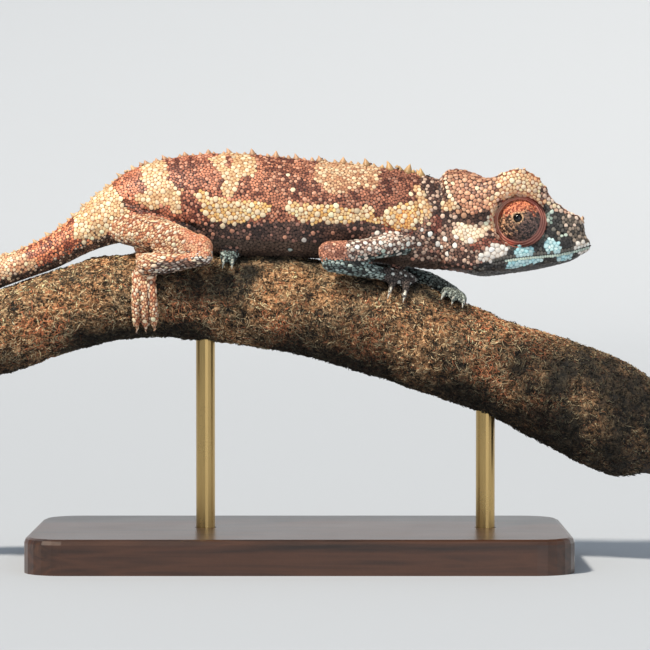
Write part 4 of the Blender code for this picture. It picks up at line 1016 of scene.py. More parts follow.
def neighbours_of(places, count):
    tree = tree_of(places)
    return np.array([[k for _, k, _ in tree.find_n(place, count + 1)] for place in places.tolist()])[:, 1:]


def relax(places, radii, fixed_count, surface, rounds):
    """Moves each scale to the middle of the room it has, so that they pack evenly. The first ones stay put."""
    places, faces = surface.settle(places)
    for _ in range(rounds):
        normals = surface.normals_at(places, faces)
        parts = surface.parts_at(faces)
        grain = grain_at(surface, parts, kinds_at(places, normals, parts))
        ways, reach = scale_outlines(places, normals, radii, grain, 8)
        push = (ways * reach[:, :, None]).mean(axis=1)
        push[:fixed_count] = 0
        places, faces = surface.settle(places + 0.8 * push)
    return places, faces


def row_along(surface, line, pitch, radius, kind, side, rows):
    """Adds scales in a row along a line of the side sheet to rows, each as (place, radius, kind)."""
    lengths = [0.0]
    for a, b in zip(line, line[1:]):
        lengths.append(lengths[-1] + math.dist(a, b))
    count = max(2, round(lengths[-1] / pitch))
    for k in range(count + 1):
        want = lengths[-1] * k / count
        i = max(j for j in range(len(lengths) - 1) if lengths[j] <= want or j == 0)
        t = (want - lengths[i]) / (lengths[i + 1] - lengths[i])
        across = line[i][0] + (line[i + 1][0] - line[i][0]) * t
        down = line[i][1] + (line[i + 1][1] - line[i][1]) * t
        place = surface.from_side(across, down, side)
        if place:
            rows.append((place, radius * (1 + 0.1 * math.sin(5.1 * k)), kind))


def placed_scales(surface):
    """Scales that have their own place: along the lips and ridges, and the ones that stand out."""
    lips = [on_sheet(x, z) for x, z in mouth_line()]
    lips = [p for p in lips if 484 < p[0] < 592]
    upper, lower = [(a, d - 2.1) for a, d in lips], [(a, d + 1.6) for a, d in lips if a > 500]
    found = []
    for side in (RIGHT, LEFT):
        for line, pitch, radius, kind in ((upper, 3.5, 0.42, None), (lower, 2.5, 0.27, "mint"), *HEAD_ROWS):
            row_along(surface, line, pitch, radius, kind, side, found)
        for across, down, radius, kind in NOTED_SCALES:
            if side == LEFT:
                across, down = across + 5 * math.sin(across), down + 4 * math.cos(down)
            place = surface.from_side(across, down, side)
            if place:
                found.append((place, radius * SHEET_STEP * 0.92, kind))
    return found


def lay_out_scales(surface):
    """Where every scale stands, with its radius, kind, face of the skin and whether it is a large one."""
    ready = placed_scales(surface)
    fixed = np.array([p for p, _, _ in ready])
    fixed_radii = np.array([r for _, r, _ in ready])
    kept = thin_out(fixed, fixed_radii, 0.8)
    fixed, fixed_radii = fixed[kept], fixed_radii[kept]
    fixed_kinds = [ready[k][2] for k in kept]

    places, faces = random_places(surface, TRIED_PLACES)
    parts = surface.parts_at(faces)
    bare = (distance_to_line(places, mouth_line()) < 0.1) & are(parts, *REGIONS["head"])
    for side in (RIGHT, LEFT):
        bare |= near_eye(places, side, EYE_SOCKET)
        bare |= from_nostril(places, side, (0.8, 0.6, 1.2)) < NOSTRIL_RADIUS
    places, faces, parts = places[~bare], faces[~bare], parts[~bare]
    kinds = kinds_at(places, surface.normals_at(places, faces), parts)

    lead = RNG.random(len(places)) < column(LARGE_SHARE)[kinds] * 0.25
    lead_places = places[lead]
    lead_radii = column(LARGE_RADIUS)[kinds][lead] * (0.62 + 0.5 * RNG.random(lead.sum()))
    free = clear_of(lead_places, lead_radii, 1.05, fixed, fixed_radii)
    lead_places, lead_radii = lead_places[free], lead_radii[free]
    kept = thin_out(lead_places, lead_radii, 1.1)
    taken = np.concatenate([fixed, lead_places[kept]])
    taken_radii = np.concatenate([fixed_radii, lead_radii[kept]])

    small = column(RADIUS)[kinds] * (0.86 + 0.26 * RNG.random(len(places)))
    free = np.flatnonzero(clear_of(places, small, CLOSENESS, taken, taken_radii))
    round_places = squeeze(places[free], grain_at(surface, parts[free], kinds[free]))
    round_places[:, 0] += LIMBS_APART * (column(LONGER)[kinds[free]] > 0) * (1 + parts[free])
    kept = free[thin_out(round_places, small[free], CLOSENESS)]
    everything = np.concatenate([taken, places[kept]])
    radii = np.concatenate([taken_radii, small[kept]])
    large = np.arange(len(everything)) < len(taken)
    everything, faces = relax(everything, radii, len(taken), surface, 2)
    normals = surface.normals_at(everything, faces)
    kinds = kinds_at(everything, normals, surface.parts_at(faces))
    for k, name in enumerate(fixed_kinds):
        if name:
            kinds[k] = KIND_NUMBERS[name]
    on_edge = (np.abs(everything[:, 1]) < 0.5) & (everything[:, 2] > 80) & (normals[:, 2] < 0.6)
    return tuple(a[~on_edge] for a in (everything, normals, radii, kinds, faces, large))


def tangents(normals):
    """Two directions along the skin at each normal, the first as near to the tail as it can be."""
    back = np.tile((-1.0, 0.0, -0.15), (len(normals), 1))
    back[np.abs(normals[:, 0]) > 0.93] = (0, 0, -1)
    first = unit(back - (back * normals).sum(axis=1)[:, None] * normals)
    return first, np.cross(normals, first)


def scale_outlines(places, normals, radii, grain, sides):
    """How far each scale reaches in each of its directions before it meets its neighbours."""
    near = neighbours_of(places, 14)
    first, second = tangents(normals)
    turns = RNG.random(len(places))[:, None] * 2 * math.pi / sides + np.arange(sides) * 2 * math.pi / sides
    ways = np.cos(turns)[:, :, None] * first[:, None] + np.sin(turns)[:, :, None] * second[:, None]
    away = places[near] - places[:, None]
    away -= (away * normals[:, None]).sum(axis=2)[:, :, None] * normals[:, None]
    away, ways_round = squeeze(away, grain[:, None]), squeeze(ways, grain[:, None])
    far = np.maximum(np.linalg.norm(away, axis=2), 1e-6)
    cut = (far**2 + radii[:, None] ** 2 - radii[near] ** 2) / (2 * far)
    facing = (normals[near] * normals[:, None]).sum(axis=2) > -0.1
    cut = np.where(facing, cut, 1e6)
    along = np.einsum("nsc,nkc->nsk", ways_round, away / far[:, :, None])
    length = np.linalg.norm(ways_round, axis=2)
    reach = np.where(along > 0.1 * length[:, :, None], cut[:, None] / np.maximum(along, 1e-3), 1e6).min(axis=2)
    reach = np.clip(reach, 0.45 * radii[:, None] / length, 1.6 * radii[:, None] / length)
    return ways, reach


def round_offsets(count, sides, size):
    """Offsets from a point that lie round it, as many to a turn as there are sides."""
    turn = np.arange(count) * 2 * math.pi / sides
    return np.stack([np.cos(turn), np.sin(turn)], axis=1) * size


def dome_mesh(name, levels, tints, marks, rims=None):
    """A mesh of many domes, each with a ring of points at every level but the last, which is its top."""
    points, sides = np.concatenate(levels, axis=1), levels[0].shape[1]
    highest = sides * (len(levels) - 2)
    k = np.arange(sides)
    after = (k + 1) % sides
    start = np.arange(len(points))[:, None, None] * points.shape[1]
    walls = [np.stack([low + k, low + after, low + sides + after, low + sides + k], axis=1)
             for low in range(0, highest, sides)]  # fmt: skip
    top = np.stack([highest + k, highest + after, np.full(sides, highest + sides)], axis=1)
    root = k[::-1]
    faces = ((start + np.concatenate(walls)).reshape(-1, 4), (start + top).reshape(-1, 3), start[:, 0] + root)
    colours = np.clip(np.concatenate(tints, axis=1).reshape(-1, 3), 0, 1)
    spots = np.concatenate(marks, axis=1).reshape(-1, 2)
    return mesh_from_arrays(name, points.reshape(-1, 3), faces, colours, spots, rims=rims)


def build_scales(name, layout, outlines, spots, chosen, look, broad=False):
    """One piece of the coat: domed scales that fill their outlines."""
    places, normals, radii, kinds, large, grain = (a[chosen] for a in layout)
    ways, reach = (a[chosen] for a in outlines)
    spots, sides = spots[chosen][:, None], ways.shape[1]
    domes = column(DOME)[kinds]
    height = radii * domes[:, 1] * (0.85 + 0.3 * RNG.random(len(radii)))
    lean = unit(normals + 0.1 * RNG.standard_normal(normals.shape) + tangents(normals)[0] * 0.1)
    colours = scale_colours(places, kinds, large, grain)
    between = between_colours(places, kinds)
    brow, edged = domes[:, :1, None], domes[:, 2] > 0
    # The third value of each ring is painted light: the root ring is darkened and mixed with the colour
    # between, as painted shade round the foot of each scale
    if broad:
        rings = ((1.0, -0.4, 0.2), (0.5 + 0.5 * brow, 0.4, 0.85), (0.72 * brow, 0.84, 1.0))
    else:
        rings = ((1.0, -0.5, 0.2), (brow, np.where(edged, 0.5, 0.66), 0.9))
    levels, tints, marks = [], [], []
    for share, up, light in rings:
        lift = lean * (height * up)[:, None]
        levels.append(places[:, None] + ways * reach[:, :, None] * share * 0.98 + lift[:, None])
        tint = colours * light + (between * 0.7 if light < 0.5 else 0)
        tints.append(np.repeat(tint[:, None], sides, axis=1))
        marks.append(spots + round_offsets(sides, sides, 0.0015 if light < 0.5 else 0.001))
    levels.append((places + lean * height[:, None])[:, None])
    # painted highlight: the top of each scale a little brighter than its brow
    tints.append((colours * 1.04)[:, None])
    marks.append(spots)
    rims = np.zeros((len(places), sides * len(rings) + 1), bool)
    rims[:, sides : 2 * sides] = edged[:, None]
    return object_from(name, dome_mesh(name, levels, tints, marks, rims.ravel()), look)


def build_coat(surface, look):
    """The scales, in pieces that each take a region of the body."""
    places, normals, radii, kinds, faces, large = lay_out_scales(surface)
    spots, parts = surface.spots_at(places, faces), surface.parts_at(faces)
    grain = grain_at(surface, parts, kinds)
    small_outlines, broad_outlines = (
        scale_outlines(places, normals, radii, grain, sides) for sides in (SMALL_SIDES, BROAD_SIDES)
    )
    layout = (places, normals, radii, kinds, large, grain)
    wide = radii > BROAD_RADIUS
    for region, names in REGIONS.items():
        here = are(parts, *names)
        small = np.flatnonzero(here & ~wide)
        small = small[np.argsort(places[small, 0])]
        for number, chosen in enumerate(np.array_split(small, max(1, math.ceil(len(small) / MOST_SCALES))), 1):
            build_scales(f"scales_{region}_{number}", layout, small_outlines, spots, chosen, look)
        broad = np.flatnonzero(here & wide)
        if len(broad):
            build_scales(f"tubercles_{region}", layout, broad_outlines, spots, broad, look, broad=True)


def build_skin(look, find_parts):
    """The bare skin under the coat, in the colours that show between scales."""
    skin = joined_flesh()
    parts = shape_skin(skin, find_parts)
    unwrap(skin)
    surface = Surface(skin, parts)
    points = surface.points
    colours = between_colours(points, kinds_at(points, surface.normals, parts))
    # painted shade: the mouth's line and the nostrils painted near black
    colours[are(parts, *REGIONS["head"]) & (distance_to_line(points, mouth_line()) < 0.3)] = PAINTED_HOLLOW_SHADE * 0.5
    for side in (RIGHT, LEFT):
        colours[from_nostril(points, side, (1, 0.6, 1.4)) < 0.6] = PAINTED_HOLLOW_SHADE * 0.3
        colours[near_eye(points, side, EYE_SOCKET + 0.3)] = plain("c4725e")
    store_colours(skin.data, np.clip(colours, 0, 1))
    skin.data.shade_smooth()
    skin.data.materials.clear()
    dress(skin, look)
    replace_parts(skin, *FLESH)
    return surface


# Crest, eyes and claws


def line_at(points, x):
    """The values of a line at x, where the first value of each of its points is x."""
    low = 0
    while low < len(points) - 2 and points[low + 1][0] < x:
        low += 1
    a, b = points[low], points[low + 1]
    before, after = points[max(low - 1, 0)], points[min(low + 2, len(points) - 1)]
    span = b[0] - a[0]
    u = min(max((x - a[0]) / span, 0.0), 1.0)
    found = []
    for k in range(1, len(a)):
        slope_a = (b[k] - before[k]) / (b[0] - before[0]) * span
        slope_b = (after[k] - a[k]) / (after[0] - a[0]) * span
        found.append(
            (2 * u**3 - 3 * u**2 + 1) * a[k] + (u**3 - 2 * u**2 + u) * slope_a
            + (3 * u**2 - 2 * u**3) * b[k] + (u**3 - u**2) * slope_b
        )  # fmt: skip
    return found


def branch_frame(x):
    """(middle, up, radius) of the branch at x; up is square to the branch in the XZ plane."""
    z, radius = line_at(BRANCH_LINE, x)
    slope = (line_at(BRANCH_LINE, x + 1)[0] - line_at(BRANCH_LINE, x - 1)[0]) / 2
    return Vector((x, 0, z)), Vector((-slope, 0, 1)).normalized(), radius


def on_branch(x, turn, height):
    """A point at that height over the bark, turned from the top of the branch towards +Y, and the way out."""
    middle, up, radius = branch_frame(x)
    way = up * math.cos(turn) + Vector((0, 1, 0)) * math.sin(turn)
    relief = BARK_RELIEF * noise.noise((middle + way * radius) / BARK_SCALE)
    return middle + way * (radius + relief + height), way


def tail_on_branch(t):
    """The middle of the wound tail, the way out from the branch and the tail's half height."""
    x = WIND_START + (WIND_END - WIND_START) * t
    eased = t * t / (2 * WIND_EASE) if t < WIND_EASE else t - WIND_EASE / 2
    turn = WIND_TURN * eased / (1 - WIND_EASE / 2)
    size = TAIL_AT_WIND + (TAIL_AT_TIP - TAIL_AT_WIND) * t**0.8
    middle, up, radius = branch_frame(x)
    way = up * math.cos(turn) + Vector((0, 1, 0)) * math.sin(turn)
    return middle + way * (radius + size + TAIL_CLEAR), way, size


def crest_line(surface):
    """Points along the top of the trunk and tail, each with the way up."""
    found = []
    for k in range(180):
        x = CREST_START - CREST_STEP * k
        if x < WIND_START:
            break
        hit = surface.tree.ray_cast(Vector((x, 0, 120)), Vector((0, 0, -1)))
        if hit[0] is not None:
            found.append([hit[0].copy(), None])
    for k, item in enumerate(found):
        ahead = found[max(k - 4, 0)][0] - found[min(k + 4, len(found) - 1)][0]
        item[1] = Vector((-ahead.z, 0, ahead.x)).normalized()
    for k in range(1, 160):
        middle, way, size = tail_on_branch(k / 160)
        found.append([middle + way * (size - 0.15), way])
    return found


def grow(bm, face, keep):
    """Extrudes a face and returns the new one. The old one stays only where it closes the end of a piece."""
    grown = bmesh.ops.extrude_face_region(bm, geom=[face])["geom"]
    if not keep:
        bm.faces.remove(face)
    return next(g for g in grown if isinstance(g, bmesh.types.BMFace))


def add_spine(bm, place, up, tall, wide, colour, layer, bend=0.0, ribs=0.16):
    """A ridged horny cone whose root is sunk in the skin, its tip bent a little to the tail."""
    turn = up.to_track_quat("Z", "Y").to_matrix()
    circle = bmesh.ops.create_circle(bm, cap_ends=True, segments=SPINE_SIDES, radius=wide)["verts"]
    face = circle[0].link_faces[0]
    for height, share in SPINE_OUTLINE:
        if height >= 0:
            face = grow(bm, face, keep=height == 0)
        lean = turn @ Vector((0, 0, 1)) * height - Vector((0.1 * height + bend * height * abs(height), 0, 0))
        for k, vert in enumerate(face.verts):
            angle = 2 * math.pi * k / SPINE_SIDES
            ridge = 1 + ribs * (math.cos(4 * angle) + 0.6 * math.sin(9.1 * place.x + 5 * height + 2 * angle))
            rim = turn @ Vector((math.cos(angle), math.sin(angle), 0)) * wide * share * ridge
            vert.co = place + lean * tall + rim
            vert[layer] = (*(colour * (0.6 + 0.5 * max(0.0, height) ** 0.7)), 1)


def build_crest(surface, look):
    """Cones along the back and tail: a tall one, then two small ones. One more is the bump on the snout."""
    line = crest_line(surface)
    lengths = [0.0]
    for a, b in zip(line, line[1:]):
        lengths.append(lengths[-1] + (b[0] - a[0]).length)
    tall_at = [lengths[min(range(len(line)), key=lambda i: abs(line[i][0].x - x))] for x in CREST_PLACES]
    hip, whole = tall_at[-1], lengths[-1]
    while tall_at[-1] + CREST_TAIL_PITCH < whole:
        tall_at.append(tall_at[-1] + CREST_TAIL_PITCH)
    bm = bmesh.new()
    layer = bm.verts.layers.float_color.new("marking")
    neck, back, tail = plain("d8b276"), plain("deae88"), plain("ecc69a")
    for number, (a, b) in enumerate(zip(tall_at, tall_at[1:])):
        for step in range(3):
            at = a + (b - a) * (step / 3 + 0.05 * math.sin(2.9 * number + 4 * step))
            size = CREST_TALL if step == 0 else CREST_SMALL * (1.1 if step == 1 else 0.8)
            if at < hip:
                size *= 0.62 + 0.34 * max(0.0, 1 - at / (0.6 * hip)) - 0.4 * max(0.0, at / hip - 0.7)
                colour = mix(neck, back, min(1.0, at / (0.45 * hip)))
            else:
                size *= 0.5 - 0.3 * (at - hip) / (whole - hip)
                colour = tail
            size *= 1 + 0.16 * math.sin(7.3 * number + 2 * step)
            place, up = line[min(range(len(lengths)), key=lambda i: abs(lengths[i] - at))]
            colour = colour * (0.94 + 0.1 * math.sin(3.7 * number + step))
            sway = Vector((0, 0.16 * math.sin(5.9 * number + 1.7 * step), 0))
            bend = 0.2 + 0.25 * math.sin(4.3 * number + 2.2 * step)
            add_spine(bm, place + sway, up, size, 0.37 * size + 0.3, colour, layer, bend=bend)
    snout, up = HEAD_PLACE + ROSTRAL_PLACE - Vector((0, 0, 0.1)), Vector((0.35, 0, 1)).normalized()
    add_spine(bm, snout, up, 1.2, 0.75, plain("e4c09e"), layer, ribs=0.0)
    finish_bmesh("crest_spines", bm, look)


def finish_bmesh(name, bm, look, normals=True):
    """A piece from a bmesh drawn in millimetres."""
    bmesh.ops.scale(bm, vec=(MM, MM, MM), verts=bm.verts)
    if normals:
        bmesh.ops.recalc_face_normals(bm, faces=bm.faces)
    mesh = mesh_from_bmesh(name, bm)
    mesh.shade_smooth()
    return object_from(name, mesh, look)


# The eye's turned outline from its root to the edge of the lids, as (radius, height), without its folds
LID_ROOT = ((5.3, -0.9), (5.9, 0.0), (6.16, 0.5))
FOLD_START, FOLD_END, FOLDS, FOLD_HEIGHT = (6.22, 0.8), (4.86, 2.75), 3, 0.17
LID_CONE = (
    (4.78, 2.95), (4.6, 3.35), (4.25, 3.95), (3.8, 4.6), (3.3, 5.2), (2.8, 5.68), (2.3, 6.05), (1.85, 6.34),
    (1.5, 6.55), (1.24, 6.7), (1.1, 6.72), (1.02, 6.6), (1.0, 6.25), (0.97, 5.6),
)  # fmt: skip
LID_ABOVE_EYE = 11  # how many points of the cone the lid scales cover
TURRET_SIDES, FOLD_STEPS, LID_SIDES = 110, 30, 7
PUPIL_HEIGHT, EYEBALL_HEIGHT, EYEBALL_RADIUS = 6.8, 5.82, 1.22


def fold_rise(radius):
    """How high a fold stands at that distance from the axis, from 0 to 1."""
    t = (FOLD_START[0] - radius) / (FOLD_START[0] - FOLD_END[0])
    return np.where((t > 0) & (t < 1), 0.5 - 0.5 * np.cos(2 * math.pi * FOLDS * t), 0.0)


def spin(bm, profile, steps):
    """Turns an outline of (radius, height) once round Z."""
    verts = [bm.verts.new((radius, 0, height)) for radius, height in profile]
    edges = [bm.edges.new((a, b)) for a, b in zip(verts, verts[1:])]
    bmesh.ops.spin(bm, geom=verts + edges, axis=(0, 0, 1), cent=(0, 0, 0), steps=steps, angle=2 * math.pi,
                   use_merge=True)  # fmt: skip


def eye_matrix(side):
    """From the frame of an eye, whose Z is its axis, to that of the solids."""
    base, axis = eye_frame(side)
    return Matrix.Translation(base) @ axis.to_track_quat("Z", "Y").to_matrix().to_4x4()


def eye_sheet(points, side):
    """How far the points are across and down from the pupil on the side sheet."""
    base, axis = eye_frame(side)
    front = base + axis * PUPIL_HEIGHT
    return (points[:, 0] - front.x) / SHEET_STEP, (front.z - points[:, 2]) / SHEET_STEP


def eye_colours(points, side):
    """Rusty orange above, mottled tan behind, dark below and ahead, tan round the pupil, red-brown folds with
    painted shade in their grooves and painted light to their upper left.
    """
    across, down = eye_sheet(points, side)
    radius, _ = from_eye_axis(points, side)
    far = np.hypot(across, down)
    cloud, fine = clouds(points, 0.9, 2, 6.0), clouds(points, 0.42, 2, 2.0)
    edge = np.interp(across, (-20, -13, -6, 4, 12, 16, 20), (3, -2, -4, -6, -8, -9, -10))
    spot = np.exp(-(((across - 17) / 3) ** 2) - ((down + 1) / 5) ** 2)
    warm = np.clip(0.5 + (edge - down) / 3 + 2.0 * cloud + 2.5 * spot, 0, 1)[:, None]
    pick = np.clip(0.5 + 3.8 * fine, 0, 1)[:, None]
    orange = mix(plain("8c3626"), plain("faa076"), pick)
    mottle = mix(plain("3a2620"), plain("e6b28a"), pick)
    grey = np.clip(0.5 + (across * 0.6 + down * 0.45 - 2) / 6 + 1.4 * cloud, 0, 1)[:, None]
    colour = mix(mix(mottle, mix(plain("262222"), plain("8a6c62"), pick), grey), orange, warm)
    ring = (np.exp(-(((far - 5.0) / 1.1) ** 4)) * np.clip(0.8 + 1.3 * fine, 0, 1))[:, None]
    colour = mix(colour, plain("e8bc92"), ring)
    # painted light: the folds brighter to the upper left; painted shade: darker in their grooves than on their
    # crests
    lit = np.clip(1.35 - across / 22 - down / 45 + 0.2 * cloud, 0.5, 2.6)[:, None]
    folds = mix(plain("b66254"), plain("f4a692"), fold_rise(radius)[:, None]) * lit
    return np.clip(mix(colour, folds, np.clip((radius - LID_CONE[0][0]) / 0.1, 0, 1)[:, None]), 0, 1)


def build_turret(side_name, side, look):
    """The lids, fused over the eye: a cone ringed by folds at its foot."""
    bm = bmesh.new()
    profile = list(LID_ROOT)
    for k in range(FOLD_STEPS + 1):
        t = k / FOLD_STEPS
        radius, height = (a + (b - a) * t for a, b in zip(FOLD_START, FOLD_END))
        rise = FOLD_HEIGHT * (0.5 - 0.5 * math.cos(2 * math.pi * FOLDS * t))
        profile.append((radius + 0.75 * rise, height + 0.66 * rise))
    profile += LID_CONE
    spin(bm, profile, TURRET_SIDES)
    bmesh.ops.holes_fill(bm, edges=[e for e in bm.edges if e.is_boundary])
    bmesh.ops.recalc_face_normals(bm, faces=bm.faces)
    points = np.array([tuple(v.co) for v in bm.verts])
    radii = np.hypot(points[:, 0], points[:, 1])
    for vert, radius in zip(bm.verts, radii.tolist()):
        if radius > 1.4:
            angle = math.atan2(vert.co.y, vert.co.x)
            wave = 0.05 * math.sin(3 * angle + 2 * radius) + 0.035 * math.sin(7 * angle - 3 * radius)
            vert.co.z += wave * min(1, (radius - 1.4) / 2)
            vert.co += Vector((vert.co.x, vert.co.y, 0)).normalized() * 0.07 * noise.noise(vert.co * 0.9)
    matrix = eye_matrix(side)
    colours = eye_colours(points @ np.array(matrix)[:3, :3].T + np.array(matrix)[:3, 3], side)
    # painted shade: the cone darker where it shows between the lid scales
    colours[radii < 4.7] *= 0.7
    bmesh.ops.transform(bm, matrix=matrix, verts=bm.verts)
    layer = bm.verts.layers.float_color.new("marking")
    for vert, colour in zip(bm.verts, colours):
        vert[layer] = (*colour, 1)
    turret = finish_bmesh(f"eyelid_{side_name}", bm, look, normals=False)
    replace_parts(turret, f"eye_turret_{side_name}")
    return turret


def build_lid_scales(side_name, side, turret, look):
    """Fine flat scales in rings over the cone of the lids."""
    name = f"lid_scales_{side_name}"
    cone = np.array(LID_CONE[:LID_ABOVE_EYE])[::-1]
    rows = []
    radius = 1.3
    while radius < 4.72:
        size = 0.12 + 0.022 * radius
        count = max(6, round(2 * math.pi * radius / (2 * size)))
        height = np.interp(radius, cone[:, 0], cone[:, 1])
        for k in range(count):
            turn = 2 * math.pi * (k + 0.5 * (len(rows) % 2) + 0.4 * RNG.random()) / count
            away = radius + 0.05 * RNG.standard_normal()
            rows.append((away * math.cos(turn), away * math.sin(turn), height, size))
        radius += 1.9 * size
    rows = np.array(rows)
    matrix = np.array(eye_matrix(side))
    tree = BVHTree.FromObject(turret, bpy.context.evaluated_depsgraph_get())
    places = rows[:, :3] @ matrix[:3, :3].T + matrix[:3, 3]
    found = [tree.find_nearest(p) for p in (places * MM).tolist()]
    places = np.array([tuple(f[0]) for f in found]) / MM
    normals = np.array([tuple(f[1]) for f in found])
    radii = rows[:, 3] * (0.85 + 0.35 * RNG.random(len(rows)))
    ways, reach = scale_outlines(places, normals, radii, np.zeros_like(places), LID_SIDES)
    colours = eye_colours(places, side) * (1 + 0.12 * RNG.standard_normal(len(places)))[:, None]
    levels, tints = [], []
    for share, up, shade in ((1.0, -0.3, 0.5), (0.8, 0.26, 0.94), (0.0, 0.4, 1.06)):
        lift = normals * (radii * up)[:, None]
        ring = places[:, None] + ways * (reach * share * 0.97)[:, :, None] + lift[:, None]
        levels.append(ring if share else ring[:, :1])
        tints.append(np.repeat((colours * shade)[:, None], LID_SIDES if share else 1, axis=1))
    middle = np.stack([0.5 + rows[:, 0] / 12, 0.5 + rows[:, 1] / 12], axis=1)[:, None]
    marks = [middle + round_offsets(2 * LID_SIDES + 1, LID_SIDES, 0.0012)]
    return object_from(name, dome_mesh(name, levels, tints, marks), look)


def build_eyeball(side_name, side, look):
    """The glossy black eye in the opening of the lids."""
    bm = bmesh.new()
    bmesh.ops.create_uvsphere(bm, u_segments=48, v_segments=28, radius=EYEBALL_RADIUS)
    bmesh.ops.scale(bm, vec=(1, 1, 0.85), verts=bm.verts)
    bmesh.ops.translate(bm, vec=(0, 0, EYEBALL_HEIGHT), verts=bm.verts)
    layer = bm.verts.layers.float_color.new("marking")
    for vert in bm.verts:
        edge = min(1.0, max(0.0, (math.hypot(vert.co.x, vert.co.y) - 1.05) / 0.1))
        vert[layer] = (*mix(plain("070607"), plain("54341e"), edge), 1)
    bmesh.ops.transform(bm, matrix=eye_matrix(side), verts=bm.verts)
    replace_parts(finish_bmesh(f"eye_{side_name}", bm, look), f"eyeball_{side_name}")


def toe_tips(foot):
    """(tip, the way ahead, the way out from the branch, tip radius) of each toe."""
    for count, split, end in foot["toes"]:
        middle = (count - 1) / 2
        for k in range(count):
            reach = split + (end - split) * (1 - 0.12 * abs(k - middle))
            turns = (foot["palm"] + (split - foot["palm"]) * 0.7, split, (split + reach) / 2, reach)
            path = []
            for j, turn in enumerate(turns):
                spread = TOE_BUNCHED + (1 - TOE_BUNCHED) * j / 3
                offset = (k - middle) * foot["spacing"] * spread
                path.append(on_branch(foot["x"] + offset, math.radians(turn) * foot["side"],
                                      TOE_RADIUS * foot["size"] + FOOT_LIFT))  # fmt: skip
            ahead = (path[-1][0] - path[-2][0]).normalized()
            yield path[-1][0], ahead, path[-1][1], TOE_TIP_RADIUS * foot["size"]


# Claws of each foot: how long they are beside CLAW_LENGTH, and their colour
CLAWS = {"foot_right": (0.42, plain("e2c0a0")), "foot_left": (1.25, plain("c4c8be")),
         "hand_right": (1.2, plain("e8e4d6")), "hand_left": (1.0, plain("ced0c8"))}  # fmt: skip


def build_claws(look):
    """A curved claw at the tip of each toe."""
    bm = bmesh.new()
    layer = bm.verts.layers.float_color.new("marking")
    for name, foot in FEET.items():
        reach, pale = CLAW_LENGTH * CLAWS[name][0], CLAWS[name][1]
        for tip, ahead, out, size in toe_tips(foot):
            side = ahead.cross(out).normalized()
            path = []
            for k in range(CLAW_RINGS):
                t = k / (CLAW_RINGS - 1)
                forward, raised = size * 0.7 - 0.6 + t * (reach + 0.6), 0.1 - 0.42 * t * t * reach
                path.append(tip + ahead * forward + out * raised)
            face = None
            for k, place in enumerate(path):
                t = k / (CLAW_RINGS - 1)
                along = (path[min(k + 1, CLAW_RINGS - 1)] - path[max(k - 1, 0)]).normalized()
                high = side.cross(along).normalized()
                radius = CLAW_RADIUS * (1.0 if t < 0.25 else 1 - ((t - 0.25) / 0.75) ** 1.3 * 0.93)
                ring = [place + (side * math.cos(a) * 0.8 + high * math.sin(a)) * radius
                        for a in (2 * math.pi * i / CLAW_SIDES for i in range(CLAW_SIDES))]  # fmt: skip
                if face is None:
                    face = bm.faces.new([bm.verts.new(p) for p in ring])
                else:
                    face = grow(bm, face, keep=k == 1)
                    for vert, point in zip(face.verts, ring):
                        vert.co = point
                for vert in face.verts:
                    vert[layer] = (*(pale * (0.6 if t < 0.2 else 1 - 0.2 * t)), 1)
    finish_bmesh("claws", bm, look)


# Branch and stand


BARK_RINGS, BARK_AROUND = 520, 156
BARK_RADIUS = 10.5  # about its middle, for distances round the branch
BED_TOP = 56  # the height above which beds swell the bark
# Where rusty tufts grow on the bark: (x, degrees round the branch, radius), and where painted shadows darken
# it: under the body and limbs, on its underside and at its far end
TUFTS = (
    (-24, -102, 7), (-60, -110, 7), (16, -118, 7), (38, -24, 8), (50, -36, 6), (44, -100, 6), (-4, -128, 6),
    (30, 60, 8), (-30, 80, 9), (66, 100, 8), (-66, 60, 8), (58, -120, 5),
)  # fmt: skip
PAINTED_SHADOWS = (
    (-50, -160, 8), (-26, -165, 9), (76, -70, 24), (10, 170, 20), (60, -140, 16), (-75, -162, 9),
    (92, -20, 18), (-31, -60, 6), (-25, -66, 8), (-18, -64, 8), (-12, -44, 5), (-14, -16, 5), (-6, -15, 5),
    (2, -15, 5), (14, -20, 6), (24, -18, 6), (31, -26, 5), (66, -58, 12), (-40, -160, 8), (40, -150, 12),
    (56, -80, 12),
)  # fmt: skip
# Where the bark swells up to what lies on it: (x, reach along, reach across, height)
BEDS = ((-4, 17, 4.5, 0.7), (28.5, 3.4, 4.0, 0.8))


def spots_at_bark(xs, turns, spots):
    """How much of a round spot on the bark is at each place, from 0 to 1."""
    found = np.zeros(len(xs))
    for x, degrees, radius in spots:
        around = (np.degrees(turns) - degrees + 180) % 360 - 180
        far = np.hypot(xs - x, np.radians(around) * BARK_RADIUS)
        found = np.maximum(found, np.exp(-((far / radius) ** 2)))
    return found


def dryness_and_shade(xs, turns, points):
    """How pale the bark is, from 0 to 1: paler in random clouds, darker under painted shadows and painted
    shade on its underside.
    """
    cloud = clouds(points, 7.0, 3, 14.0)
    shadowed = spots_at_bark(xs, turns, PAINTED_SHADOWS)
    # painted shade on the underside of the branch
    under = np.clip((np.abs(turns) - 2.0) / 1.1, 0, 1)
    return np.clip(1.02 + 0.35 * cloud - 1.05 * shadowed - 0.4 * under, 0, 1)


def bark_detail(point):
    """How far the fine bark stands out over the plain round there, in millimetres."""
    coarse = noise.fractal(point / 2.4, 0.9, 2.0, 3)
    grains = noise.fractal(point / 0.75, 0.7, 2.0, 2)
    cracks = abs(noise.noise(Vector((point.x / 5.0, point.y / 1.7, point.z / 1.7))))
    bed = 0.0
    if point.z > BED_TOP:
        for x, along, across, height in BEDS:
            bed += height * math.exp(-(((point.x - x) / along) ** 4) - (point.y / across) ** 2)
    return 0.22 * coarse + 0.27 * grains - 0.25 * max(0.0, 0.25 - cracks) / 0.25 + bed


